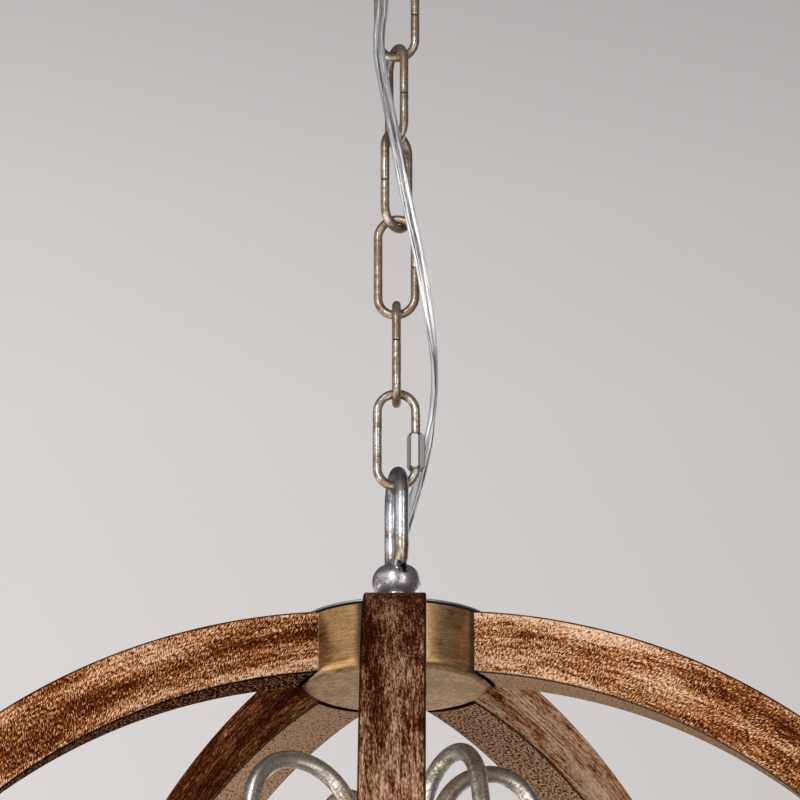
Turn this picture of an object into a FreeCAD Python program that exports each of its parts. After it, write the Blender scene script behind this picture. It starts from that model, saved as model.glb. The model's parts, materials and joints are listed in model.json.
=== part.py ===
"""Caged pendant light: a globe of five bent-wood ribs around a four-candle
metal cluster, hung on a chain from a ceiling canopy.

Millimetres, +Z up. The origin is the centre of the canopy's rim on the
ceiling. Rib 1 faces -Y. Azimuths run from -Y towards +X.
"""

import FreeCAD, Part
import math
import os

V = FreeCAD.Vector
UP = V(0, 0, 1)
ORIGIN = V(0, 0, 0)

# Clearances between pieces
CHAIN_GAP = 0.25
THREAD_GAP = 0.1
SLIDE_GAP = 0.4
COVER_GAP = 0.4

# Threaded tube that carries the canopy, the hub and the cluster
NIPPLE_R = 4.8
NIPPLE_BORE_R = 3.3
NUT_FLATS = 14.0
NUT_HEIGHT = 4.0

# Ceiling fitting
CANOPY_R = 60.0
CANOPY_DEPTH = 26.0
CANOPY_WALL = 1.2
CANOPY_EDGE_R = 9.0
STRAP_LENGTH = 104.0
STRAP_WIDTH = 14.0
STRAP_THICK = 2.0
STRAP_SLOT_SPACING = 78.0
STRAP_SLOT_LENGTH = 14.0
STRAP_SLOT_R = 2.4
COLLAR_R = 11.0
COLLAR_HEIGHT = 5.0

# Cast loop with a ball foot, used at the canopy and on the hub
LOOP_WIRE = 6.2
LOOP_WIDTH = 30.0
LOOP_HEIGHT = 71.3
LOOP_BALL_R = 10.6
LOOP_BALL_RISE = 7.4
LOOP_BALL_HEIGHT = 19.2
LOOP_NECK_R = 7.0
LOOP_FOOT_R = 9.0
LOOP_FOOT_HEIGHT = 3.0
LOOP_THREAD_DEPTH = 9.0
HUB_LOOP_TURN = 11.0

# Chain: the turn of each link about the vertical, the leg with its seam, and the
# seam's height above the middle of the leg
LINK_WIRE = 3.9
LINK_LENGTH = 49.1
LINK_WIDTH = 20.5
LINK_TURNS = (0.0, -66.0, -128.0, -188.0, -270.0)
LINK_SEAM_SIDES = (1, 1, 1, -1, -1)
LINK_SEAM_RISES = (-2.0, -2.0, -2.0, -1.0, 3.7)
SEAM_HEIGHT = 0.7
SEAM_DEPTH = 0.3

# Screw link between the chain and the hub loop
QUICK_WIRE = 4.0
QUICK_LENGTH = 46.8
QUICK_WIDTH = 20.9
QUICK_MOUTH = 8.5
QUICK_MOUTH_DROP = 7.8
SLEEVE_NUT_FLATS = 7.0
SLEEVE_NUT_LENGTH = 16.8
SLEEVE_NUT_CHAMFER = 0.6

# Hub drum at each pole of the globe
HUB_R = 41.5
HUB_HEIGHT = 27.5
HUB_WALL = 1.5
HUB_EDGE_R = 5.0
LID_OVERHANG = 0.5
LID_R = HUB_R + LID_OVERHANG
LID_THICK = 1.1
LID_STEP = 0.8
LID_INSET = 0.7

# Globe of bent ribs
RIB_COUNT = 5
GLOBE_R = 300.0
RIB_DEPTH = 27.0
RIB_WIDTH = 26.0
RIB_BEVEL = 0.85
RIB_TOP_RISE = 0.5
SCREW_R = 1.8
SCREW_LENGTH = 24.0
SCREW_HEAD_R = 3.6
SCREW_HEAD_HEIGHT = 2.2
SCREW_SPACING = 11.0

# Column and cluster body under the top hub
COLUMN_R = 7.5
COLUMN_LENGTH = 62.0
COLUMN_FLANGE_R = 13.0
COLUMN_FLANGE_HEIGHT = 3.0
BODY_R = 20.0
BODY_HEIGHT = 44.0
BODY_NECK_R = 10.0
BODY_THREAD_DEPTH = 10.0
DROP_R = 9.0
DROP_LENGTH = 36.0
DROP_STEM_LENGTH = 10.0

# Scroll arms: an arch beside the column, a long leg and a swept foot. The arches are
# bent by hand, and each stands a little higher or lower than the drawn one.
ARM_COUNT = 4
ARM_FIRST_AZIMUTH = 30.0
ARM_LIFTS = (-2.0, 6.0, 0.0, 0.0)
ARM_R = 3.75
ARM_BORE_R = 2.6
ARM_WIRE_R = 2.0
ARM_ROOT_RADIUS = 8.5
ARCH_TOP_RADIUS = 50.0
ARCH_TOP_DROP = 37.5
ARCH_INNER_BEND = 30.0
ARCH_INNER_TURN = 60.0
ARCH_OUTER_BEND = 20.0
ARCH_OUTER_TURN = 75.0
LEG_BEND = 110.0
SWEEP_BEND = 92.0
SWEEP_TURN = 80.0
UPTURN_BEND = 32.0
CUP_DROP = 322.0
ARM_TIP_RISE = 12.0

# Candle: drip cup, sleeve, lamp holder and lamp
CUP_R = 24.0
CUP_DEPTH = 11.0
CUP_WALL = 1.4
CUP_FLOOR_R = 13.5
CUP_NUT_FLATS = 12.0
SLEEVE_R = 11.5
SLEEVE_WALL = 1.0
SLEEVE_HEIGHT = 88.0
HOLDER_FOOT_R = 6.0
HOLDER_HEIGHT = 84.0
HOLDER_BODY_HEIGHT = 42.0
CAP_R = 6.1
CAP_HEIGHT = 24.0
CAP_TIP_HEIGHT = 1.6
BULB_R = 17.0
BULB_LENGTH = 76.0
BULB_BELLY_HEIGHT = 27.0
BULB_WALL = 0.8

# Lower pole
FINIAL_R = 10.5
FINIAL_LENGTH = 27.0
FINIAL_STEM_R = 3.0
FINIAL_NUT_FLATS = 10.0
WASHER_THICK = 1.2

# Supply cord, hand-laid from the canopy loop to the hub loop
CORD_R = 2.75
CORD_POINTS = (
    (0.0, 0.0, -42.0),
    (-0.8, -0.6, -66.0),
    (-9.6, -8.4, -89.0),
    (-5.4, -11.0, -114.0),
    (-8.8, -11.6, -137.5),
    (-4.6, -11.8, -161.5),
    (0.0, -11.6, -186.0),
    (4.6, -10.6, -211.5),
    (10.4, -9.4, -239.5),
    (14.8, -6.4, -267.0),
    (17.4, -1.0, -291.0),
    (15.0, 7.0, -314.0),
    (10.6, 10.6, -333.5),
    (6.0, 5.4, -351.0),
    (0.8, 0.6, -370.0),
    (0.0, 0.0, -387.0),
)

# Heights that follow from the stack of hanging pieces
CANOPY_LOOP_SEAT = -(CANOPY_DEPTH + COLLAR_HEIGHT)
LINK_PITCH = LINK_LENGTH - 2 * LINK_WIRE - CHAIN_GAP
CANOPY_LOOP_BOTTOM = CANOPY_LOOP_SEAT - LOOP_HEIGHT
FIRST_LINK_TOP = CANOPY_LOOP_BOTTOM + LOOP_WIRE + CHAIN_GAP + LINK_WIRE
LAST_LINK_BOTTOM = FIRST_LINK_TOP - LINK_LENGTH - (len(LINK_TURNS) - 1) * LINK_PITCH
QUICK_TOP = LAST_LINK_BOTTOM + LINK_WIRE + CHAIN_GAP + QUICK_WIRE
QUICK_BOTTOM = QUICK_TOP - QUICK_LENGTH
HUB_LOOP_TOP = QUICK_BOTTOM + QUICK_WIRE + CHAIN_GAP + LOOP_WIRE
HUB_LOOP_SEAT = HUB_LOOP_TOP - LOOP_HEIGHT
HUB_TOP = HUB_LOOP_SEAT - LID_THICK - LID_STEP
HUB_FLOOR = HUB_TOP - HUB_HEIGHT
GLOBE_Z = HUB_TOP + RIB_TOP_RISE - math.sqrt(GLOBE_R ** 2 - HUB_R ** 2)
LOWER_FLOOR = 2 * GLOBE_Z - HUB_FLOOR
BODY_TOP = HUB_FLOOR - COLUMN_LENGTH
CUP_SEAT = HUB_FLOOR - CUP_DROP

RIB_AZIMUTHS = [360.0 / RIB_COUNT * i for i in range(RIB_COUNT)]
ARM_AZIMUTHS = [ARM_FIRST_AZIMUTH + 360.0 / ARM_COUNT * i for i in range(ARM_COUNT)]


def save(name, shape):
    """Write one piece, in place, as its own file."""
    shape.exportStep("parts/" + name + ".step")


def corner_edges(corners):
    """A closed ring of straight edges through (a, b, radius) corners in XZ, rounded by tangent arcs."""
    points = [V(c[0], 0, c[1]) for c in corners]
    count = len(points)
    spans = []
    for i, corner in enumerate(corners):
        radius = corner[2] if len(corner) > 2 else 0.0
        if radius == 0.0:
            spans.append((points[i], None, points[i]))
            continue
        back = (points[i - 1] - points[i]).normalize()
        ahead = (points[(i + 1) % count] - points[i]).normalize()
        half = back.getAngle(ahead) / 2
        reach = radius / math.tan(half)
        inward = (back + ahead).normalize()
        middle = points[i] + inward * (radius / math.sin(half) - radius)
        spans.append((points[i] + back * reach, middle, points[i] + ahead * reach))
    edges = []
    for i, (start, middle, end) in enumerate(spans):
        if middle is not None:
            edges.append(Part.Arc(start, middle, end).toShape())
        following = spans[(i + 1) % count][0]
        if (following - end).Length > 1e-6:
            edges.append(Part.LineSegment(end, following).toShape())
    return edges


def turned(corners):
    """A solid turned about Z from a closed outline of (radius, height, rounding) corners."""
    face = Part.Face(Part.Wire(corner_edges(corners)))
    return face.revolve(ORIGIN, UP, 360)


def cylinder(radius, bottom, top):
    """A plain cylinder about Z between two heights."""
    return Part.makeCylinder(radius, top - bottom, V(0, 0, bottom))


def hexagon(flats, bottom, top, bore):
    """A hexagonal nut along Z with a plain bore and its flats facing X."""
    corner = flats / math.sqrt(3)
    angles = [math.radians(30 + 60 * i) for i in range(7)]
    ring = [V(corner * math.cos(a), corner * math.sin(a), bottom) for a in angles]
    prism = Part.Face(Part.makePolygon(ring)).extrude(V(0, 0, top - bottom))
    return prism.cut(cylinder(bore, bottom, top))


def placed(shape, azimuth):
    """A copy turned about Z. Azimuth 0 turns local +X towards -Y."""
    copy = shape.copy()
    copy.rotate(ORIGIN, UP, azimuth - 90.0)
    return copy


def turned_in_plan(shape, degrees, at):
    """A copy turned about Z and then moved to its place."""
    copy = shape.copy()
    copy.rotate(ORIGIN, UP, degrees)
    copy.translate(at)
    return copy


def half_ring(bend, wire, height, side):
    """Half a ring in XZ, bowed up (side 1) or down (side -1), about (0, 0, height)."""
    circle = Part.Wire(Part.makeCircle(wire / 2, V(bend, 0, height), UP))
    return Part.Face(circle).revolve(V(0, 0, height), V(0, -side, 0), 180)


def oval_ring(length, width, wire):
    """A closed link in XZ, standing on z = 0."""
    bend = (width - wire) / 2
    low = width / 2
    high = length - width / 2
    ring = half_ring(bend, wire, high, 1).fuse(half_ring(bend, wire, low, -1))
    for x in (-bend, bend):
        ring = ring.fuse(Part.makeCylinder(wire / 2, high - low, V(x, 0, low)))
    return ring.removeSplitter()


def chain_link(seam_side, seam_rise):
    """A bent-wire link with the butt seam of its closed ends near the middle of one leg."""
    bend = (LINK_WIDTH - LINK_WIRE) / 2
    at = V(seam_side * bend, 0, (LINK_LENGTH - SEAM_HEIGHT) / 2 + seam_rise)
    band = Part.makeCylinder(LINK_WIRE / 2, SEAM_HEIGHT, at)
    core = Part.makeCylinder(LINK_WIRE / 2 - SEAM_DEPTH, SEAM_HEIGHT, at)
    return oval_ring(LINK_LENGTH, LINK_WIDTH, LINK_WIRE).cut(band.cut(core))


def cast_loop():
    """An oval loop cast on a squat ball, standing on z = 0, with a wire way up its middle."""
    ball_foot = LOOP_BALL_HEIGHT - LOOP_BALL_RISE
    ball_top = LOOP_BALL_HEIGHT + LOOP_BALL_RISE
    ring = oval_ring(LOOP_HEIGHT - LOOP_BALL_HEIGHT, LOOP_WIDTH, LOOP_WIRE)
    ring.translate(V(0, 0, LOOP_BALL_HEIGHT))
    ball = turned([
        (0, ball_foot),
        (LOOP_BALL_R, ball_foot, LOOP_BALL_RISE * 0.98),
        (LOOP_BALL_R, ball_top, LOOP_BALL_RISE * 0.98),
        (0, ball_top),
    ])
    foot = turned([
        (0, 0),
        (LOOP_FOOT_R, 0),
        (LOOP_FOOT_R, LOOP_FOOT_HEIGHT, 1.0),
        (LOOP_NECK_R, LOOP_FOOT_HEIGHT + 1.5, 1.0),
        (LOOP_NECK_R, LOOP_BALL_HEIGHT),
        (0, LOOP_BALL_HEIGHT),
    ])
    loop = ring.fuse([ball, foot]).removeSplitter()
    loop = loop.cut(cylinder(NIPPLE_BORE_R, 0, ball_top + LOOP_WIRE))
    return loop.cut(cylinder(NIPPLE_R + THREAD_GAP, 0, LOOP_THREAD_DEPTH))


def threaded_tube(bottom, top):
    """A length of the threaded tube, with the wire way through it."""
    return cylinder(NIPPLE_R, bottom, top).cut(cylinder(NIPPLE_BORE_R, bottom, top))


def hub_cup():
    """A spun drum standing on z = 0, open at the top, with screw holes behind each rib."""
    inner = HUB_R - HUB_WALL
    cup = turned([
        (NIPPLE_R + THREAD_GAP, 0),
        (HUB_R, 0, HUB_EDGE_R),
        (HUB_R, HUB_HEIGHT),
        (inner, HUB_HEIGHT),
        (inner, HUB_WALL, HUB_EDGE_R - HUB_WALL),
        (NIPPLE_R + THREAD_GAP, HUB_WALL),
    ])
    for azimuth in RIB_AZIMUTHS:
        for height in screw_heights():
            hole = radial_rod(SCREW_R, inner - HUB_WALL, HUB_R + HUB_WALL, height)
            cup = cup.cut(placed(hole, azimuth))
    return cup


def hub_lid():
    """A lid with a softened rim on a smaller step, which stands on z = 0 and leaves a shadow gap."""
    top = LID_STEP + LID_THICK
    return turned([
        (NIPPLE_R + THREAD_GAP, 0),
        (HUB_R - LID_INSET, 0),
        (HUB_R - LID_INSET, LID_STEP),
        (LID_R, LID_STEP),
        (LID_R, top, LID_THICK * 0.4),
        (NIPPLE_R + THREAD_GAP, top),
    ])


def screw_heights():
    """Heights of the two screws per rib end, above the hub's floor."""
    top = HUB_HEIGHT + RIB_TOP_RISE
    inner_arc = GLOBE_R - RIB_DEPTH
    drop = math.sqrt(GLOBE_R ** 2 - HUB_R ** 2) - math.sqrt(inner_arc ** 2 - HUB_R ** 2)
    middle = top - drop / 2
    return (middle - SCREW_SPACING / 2, middle + SCREW_SPACING / 2)


def radial_rod(radius, inner, outer, height):
    """A rod along local +X."""
    return Part.makeCylinder(radius, outer - inner, V(inner, 0, height), V(1, 0, 0))


def rib_screw(height):
    """A pan-head screw from inside the drum, along local +X."""
    seat = HUB_R - HUB_WALL
    flat = math.sqrt(seat ** 2 - SCREW_HEAD_R ** 2)
    shank = radial_rod(SCREW_R, flat - SCREW_HEAD_HEIGHT / 2, seat + SCREW_LENGTH, height)
    head = radial_rod(SCREW_HEAD_R, flat - SCREW_HEAD_HEIGHT, flat, height)
    rim = [e for e in head.Edges if abs(e.CenterOfMass.x - flat + SCREW_HEAD_HEIGHT) < 1e-6]
    head = head.makeFillet(SCREW_HEAD_HEIGHT * 0.45, rim)
    return head.fuse(shank).removeSplitter()


def rib():
    """A bent-wood rib along local +X, coped against both hub drums and drilled for its screws."""
    inner = GLOBE_R - RIB_DEPTH
    half = RIB_WIDTH / 2
    ring = [
        V(inner + RIB_BEVEL, -half, 0),
        V(GLOBE_R - RIB_BEVEL, -half, 0),
        V(GLOBE_R, RIB_BEVEL - half, 0),
        V(GLOBE_R, half - RIB_BEVEL, 0),
        V(GLOBE_R - RIB_BEVEL, half, 0),
        V(inner + RIB_BEVEL, half, 0),
        V(inner, half - RIB_BEVEL, 0),
        V(inner, RIB_BEVEL - half, 0),
    ]
    section = Part.makePolygon(ring + ring[:1])
    section.rotate(ORIGIN, V(0, 1, 0), -90)
    start = math.degrees(math.asin((HUB_R - HUB_EDGE_R) / GLOBE_R))
    section.rotate(ORIGIN, V(0, 1, 0), start)
    band = Part.Face(section).revolve(ORIGIN, V(0, 1, 0), 180 - 2 * start)
    band.translate(V(0, 0, GLOBE_Z))
    # The drum's own seam line is turned away from the rib's end
    drum = cylinder(HUB_R, GLOBE_Z - 2 * GLOBE_R, GLOBE_Z + 2 * GLOBE_R)
    drum.rotate(ORIGIN, UP, 180)
    band = band.cut(drum)
    for height in screw_heights():
        for level in (HUB_FLOOR + height, LOWER_FLOOR - height):
            tip = HUB_R - HUB_WALL + SCREW_LENGTH + THREAD_GAP
            band = band.cut(radial_rod(SCREW_R + THREAD_GAP, HUB_R - HUB_WALL, tip, level))
    return band


def step_along(point, heading, distance):
    """The point that lies a distance away at a heading, in XZ."""
    return V(point.x + distance * math.cos(heading), 0, point.z + distance * math.sin(heading))


def bend_from(point, heading, radius, turn):
    """An arc that leaves a point at a heading and turns left (turn > 0) or right, in XZ."""
    side = math.copysign(math.pi / 2, turn)
    centre = step_along(point, heading + side, radius)
    middle = step_along(centre, heading - side + turn / 2, radius)
    end = step_along(centre, heading - side + turn, radius)
    return Part.Arc(point, middle, end).toShape(), end, heading + turn


def arm_path(lift):
    """An arm's centre line in its own radial plane, from the cluster body to the candle.

    Out of the body it rises along a short straight, arches over, falls through a slower bend
    to a plumb leg, sweeps outwards and turns up under the candle.
    """
    top = V(ARCH_TOP_RADIUS, 0, HUB_FLOOR - ARCH_TOP_DROP + lift)
    inner_turn = math.radians(ARCH_INNER_TURN)
    outer_turn = math.radians(ARCH_OUTER_TURN)
    sweep_turn = math.radians(SWEEP_TURN)
    inner, arch_start, heading = bend_from(top, math.pi, ARCH_INNER_BEND, inner_turn)
    root_run = (arch_start.x - ARM_ROOT_RADIUS) / -math.cos(heading)
    root = step_along(arch_start, heading, root_run)
    outer, fall, heading = bend_from(top, 0.0, ARCH_OUTER_BEND, -outer_turn)
    slow, leg_top, heading = bend_from(fall, heading, LEG_BEND, outer_turn - math.pi / 2)
    foot_level = CUP_SEAT - NUT_HEIGHT - UPTURN_BEND * math.sin(sweep_turn)
    leg_foot = V(leg_top.x, 0, foot_level + SWEEP_BEND * math.sin(sweep_turn))
    sweep, low, heading = bend_from(leg_foot, heading, SWEEP_BEND, sweep_turn)
    upturn, tip_foot, heading = bend_from(low, heading, UPTURN_BEND, math.pi - sweep_turn)
    tip = V(tip_foot.x, 0, CUP_SEAT + ARM_TIP_RISE)
    return Part.Wire([
        Part.LineSegment(root, arch_start).toShape(),
        inner,
        outer,
        slow,
        Part.LineSegment(leg_top, leg_foot).toShape(),
        sweep,
        upturn,
        Part.LineSegment(tip_foot, tip).toShape(),
    ])


def tube_along(path, radius):
    """A round bar along a smooth path."""
    first = path.OrderedEdges[0]
    start = first.valueAt(first.FirstParameter)
    direction = first.tangentAt(first.FirstParameter)
    circle = Part.Wire(Part.makeCircle(radius, start, direction))
    return path.makePipeShell([circle], True, False)


def cluster_body(arm_paths):
    """The turned boss that the arms are set into, standing on z = 0, with the column's thread."""
    body = turned([
        (0, 0),
        (BODY_NECK_R, 0, 1.0),
        (BODY_NECK_R, BODY_HEIGHT * 0.12),
        (BODY_R, BODY_HEIGHT * 0.34, BODY_R * 0.35),
        (BODY_R, BODY_HEIGHT * 0.66, BODY_R * 0.35),
        (BODY_NECK_R, BODY_HEIGHT * 0.9),
        (BODY_NECK_R, BODY_HEIGHT, 1.0),
        (0, BODY_HEIGHT),
    ])
    body = body.cut(cylinder(NIPPLE_R + THREAD_GAP, BODY_HEIGHT - BODY_THREAD_DEPTH, BODY_HEIGHT))
    body = body.cut(cylinder(FINIAL_STEM_R + THREAD_GAP, 0, DROP_STEM_LENGTH))
    body.translate(V(0, 0, BODY_TOP - BODY_HEIGHT))
    for path, azimuth in zip(arm_paths, ARM_AZIMUTHS):
        body = body.cut(placed(tube_along(path, ARM_R), azimuth))
    return body


def column():
    """The tube between hub and cluster, standing on z = 0, with a flange under the hub."""
    return turned([
        (NIPPLE_R + THREAD_GAP, 0),
        (BODY_NECK_R, 0),
        (BODY_NECK_R, COLUMN_FLANGE_HEIGHT, 1.0),
        (COLUMN_R, COLUMN_FLANGE_HEIGHT * 2, 1.0),
        (COLUMN_R, COLUMN_LENGTH - COLUMN_FLANGE_HEIGHT * 2, 1.0),
        (COLUMN_FLANGE_R, COLUMN_LENGTH - COLUMN_FLANGE_HEIGHT, 0.8),
        (COLUMN_FLANGE_R, COLUMN_LENGTH),
        (NIPPLE_R + THREAD_GAP, COLUMN_LENGTH),
    ])


def finial(ball_radius, length, stem_length):
    """A turned drop that hangs from z = 0 on a stem going up."""
    neck = ball_radius * 0.45
    drop = turned([
        (0, 0),
        (ball_radius * 0.8, 0, 0.5),
        (ball_radius * 0.8, -length * 0.12, 0.5),
        (neck, -length * 0.2, 0.8),
        (neck, -length * 0.3, 0.8),
        (ball_radius, -length * 0.45, ball_radius * 0.4),
        (ball_radius, -length * 0.68, ball_radius * 0.4),
        (neck * 0.8, -length * 0.94, 1.0),
        (neck * 0.5, -length, 0.8),
        (0, -length),
    ])
    return drop.fuse(cylinder(FINIAL_STEM_R, 0, stem_length)).removeSplitter()


def drip_cup():
    """A spun dish standing on z = 0 with a bore for the arm's tip."""
    slope = CUP_R - CUP_FLOOR_R
    return turned([
        (ARM_R + THREAD_GAP, 0),
        (CUP_FLOOR_R, 0, 3.0),
        (CUP_R - slope * 0.2, CUP_DEPTH * 0.7, 3.0),
        (CUP_R, CUP_DEPTH),
        (CUP_R - CUP_WALL, CUP_DEPTH),
        (CUP_R - slope * 0.2 - CUP_WALL, CUP_DEPTH * 0.7 + CUP_WALL, 2.0),
        (CUP_FLOOR_R, CUP_WALL),
        (ARM_R + THREAD_GAP, CUP_WALL),
    ])


def lamp_holder():
    """A lamp holder standing on z = 0: a foot over the arm's tip and a body with the lamp's well."""
    body_r = SLEEVE_R - SLEEVE_WALL - COVER_GAP
    shoulder = HOLDER_HEIGHT - HOLDER_BODY_HEIGHT
    well = HOLDER_HEIGHT - CAP_HEIGHT
    return turned([
        (ARM_R + THREAD_GAP, 0),
        (HOLDER_FOOT_R, 0),
        (HOLDER_FOOT_R, shoulder, 1.0),
        (body_r, shoulder, 1.0),
        (body_r, HOLDER_HEIGHT),
        (CAP_R + SLIDE_GAP, HOLDER_HEIGHT),
        (CAP_R + SLIDE_GAP, well),
        (0, well),
        (0, ARM_TIP_RISE - CUP_WALL),
        (ARM_R + THREAD_GAP, ARM_TIP_RISE - CUP_WALL),
    ])


def lamp_cap():
    """The lamp's screw cap with its contact tip, cap rim at z = 0."""
    return turned([
        (0, -CAP_HEIGHT),
        (CAP_R / 2 - SLIDE_GAP, -CAP_HEIGHT, 0.4),
        (CAP_R / 2 - SLIDE_GAP, -CAP_HEIGHT + CAP_TIP_HEIGHT),
        (CAP_R, -CAP_HEIGHT + CAP_TIP_HEIGHT * 2.5, 0.6),
        (CAP_R, 0),
        (0, 0),
    ])


def lamp_glass():
    """A hollow candle-shaped bulb standing on the cap rim at z = 0."""
    def half_outline(inset):
        neck = V(CAP_R - inset, 0, 0)
        belly = V(BULB_R - inset, 0, BULB_BELLY_HEIGHT)
        tip = V(0, 0, BULB_LENGTH - inset)
        curve = Part.BSplineCurve()
        shoulder = V(BULB_R * 0.62 - inset, 0, BULB_BELLY_HEIGHT * 0.36)
        waist = V(BULB_R * 0.62 - inset, 0, BULB_BELLY_HEIGHT + (BULB_LENGTH - BULB_BELLY_HEIGHT) * 0.52)
        curve.interpolate([neck, shoulder, belly, waist, tip])
        return curve.toShape(), neck, tip
    outer, outer_neck, outer_tip = half_outline(0.0)
    inner, inner_neck, inner_tip = half_outline(BULB_WALL)
    wall = Part.Wire([
        outer,
        Part.LineSegment(outer_tip, inner_tip).toShape(),
        inner,
        Part.LineSegment(inner_neck, outer_neck).toShape(),
    ])
    return Part.Face(wall).revolve(ORIGIN, UP, 360)


def quick_link():
    """A screw link in XZ standing on z = 0, its right leg open at the mouth that the nut closes."""
    bend = (QUICK_WIDTH - QUICK_WIRE) / 2
    mouth = QUICK_LENGTH / 2 - QUICK_MOUTH_DROP - QUICK_MOUTH / 2
    gap = Part.makeCylinder(QUICK_WIRE, QUICK_MOUTH, V(bend, 0, mouth))
    return oval_ring(QUICK_LENGTH, QUICK_WIDTH, QUICK_WIRE).cut(gap)


def sleeve_nut():
    """The link's hexagonal sleeve, centred on z = 0, chamfered at both ends."""
    half = SLEEVE_NUT_LENGTH / 2
    corner = SLEEVE_NUT_FLATS / math.sqrt(3)
    nut = hexagon(SLEEVE_NUT_FLATS, -half, half, QUICK_WIRE / 2 + CHAIN_GAP)
    chamfer = turned([
        (0, -half),
        (corner - SLEEVE_NUT_CHAMFER, -half),
        (corner, -half + SLEEVE_NUT_CHAMFER),
        (corner, half - SLEEVE_NUT_CHAMFER),
        (corner - SLEEVE_NUT_CHAMFER, half),
        (0, half),
    ])
    return nut.common(chamfer)


def cord():
    """A limp cord along straight runs joined by tangent arcs. Prints its tightest bend."""
    points = [V(*p) for p in CORD_POINTS]
    edges = []
    start = points[0]
    radii = []
    for before, here, after in zip(points, points[1:], points[2:]):
        back = before - here
        ahead = after - here
        half = (math.pi - back.getAngle(ahead)) / 2
        reach = 0.45 * min(back.Length, ahead.Length)
        radius = reach / math.tan(half)
        radii.append(radius)
        back.normalize()
        ahead.normalize()
        inward = (back + ahead).normalize()
        middle = here + inward * (radius / math.cos(half) - radius)
        edges.append(Part.LineSegment(start, here + back * reach).toShape())
        edges.append(Part.Arc(here + back * reach, middle, here + ahead * reach).toShape())
        start = here + ahead * reach
    edges.append(Part.LineSegment(start, points[-1]).toShape())
    path = Part.Wire(edges)
    tube = tube_along(path, CORD_R)
    print("cord length", round(path.Length, 1), "tightest bend", round(min(radii), 1))
    print("cord volume", round(tube.Volume), "section x length", round(math.pi * CORD_R ** 2 * path.Length))
    return tube


def ceiling_fitting():
    """The slotted strap, its tube and nut, and the canopy with its collar and loop."""
    bar = Part.makeBox(STRAP_LENGTH, STRAP_WIDTH, STRAP_THICK)
    bar.translate(V(-STRAP_LENGTH / 2, -STRAP_WIDTH / 2, -STRAP_THICK))
    ends = [e for e in bar.Edges if abs(e.tangentAt(0).z) > 0.9]
    strap = bar.makeFillet(STRAP_WIDTH * 0.3, ends)
    strap = strap.cut(cylinder(NIPPLE_R + THREAD_GAP, -STRAP_THICK, 0))
    for side in (-1, 1):
        middle = side * STRAP_SLOT_SPACING / 2
        straight = STRAP_SLOT_LENGTH / 2 - STRAP_SLOT_R
        slot = Part.makeBox(2 * straight, 2 * STRAP_SLOT_R, STRAP_THICK)
        slot.translate(V(middle - straight, -STRAP_SLOT_R, -STRAP_THICK))
        for end in (-straight, straight):
            round_end = Part.makeCylinder(STRAP_SLOT_R, STRAP_THICK, V(middle + end, 0, -STRAP_THICK))
            slot = slot.fuse(round_end)
        strap = strap.cut(slot.removeSplitter())
    save("ceiling_strap", strap)
    save("canopy_nipple", threaded_tube(CANOPY_LOOP_SEAT - LOOP_THREAD_DEPTH, 0))
    bore = NIPPLE_R + THREAD_GAP
    save("strap_lock_nut", hexagon(NUT_FLATS, -STRAP_THICK - NUT_HEIGHT, -STRAP_THICK, bore))
    inner_edge = CANOPY_EDGE_R - CANOPY_WALL
    canopy = turned([
        (bore, -CANOPY_DEPTH),
        (CANOPY_R - CANOPY_EDGE_R / 2, -CANOPY_DEPTH, CANOPY_EDGE_R),
        (CANOPY_R, 0),
        (CANOPY_R - CANOPY_WALL, 0),
        (CANOPY_R - CANOPY_EDGE_R / 2 - CANOPY_WALL, -CANOPY_DEPTH + CANOPY_WALL, inner_edge),
        (bore, -CANOPY_DEPTH + CANOPY_WALL),
    ])
    save("canopy", canopy)
    collar = turned([
        (bore, CANOPY_LOOP_SEAT),
        (COLLAR_R, CANOPY_LOOP_SEAT, 1.0),
        (COLLAR_R, -CANOPY_DEPTH, 1.0),
        (bore, -CANOPY_DEPTH),
    ])
    save("canopy_collar", collar)
    loop = cast_loop()
    loop.rotate(ORIGIN, V(1, 0, 0), 180)
    save("canopy_loop", turned_in_plan(loop, 90, V(0, 0, CANOPY_LOOP_SEAT)))


def chain():
    """The links from the canopy loop down, the screw link and its nut."""
    for i, turn in enumerate(LINK_TURNS):
        link = chain_link(LINK_SEAM_SIDES[i], LINK_SEAM_RISES[i])
        foot = FIRST_LINK_TOP - LINK_LENGTH - i * LINK_PITCH
        save("chain_link_%d" % (i + 1), turned_in_plan(link, turn, V(0, 0, foot)))
    save("quick_link", turned_in_plan(quick_link(), 0, V(0, 0, QUICK_BOTTOM)))
    bend = (QUICK_WIDTH - QUICK_WIRE) / 2
    middle = QUICK_BOTTOM + QUICK_LENGTH / 2 - QUICK_MOUTH_DROP + QUICK_MOUTH / 4
    save("quick_link_nut", turned_in_plan(sleeve_nut(), 30, V(bend, 0, middle)))


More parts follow.
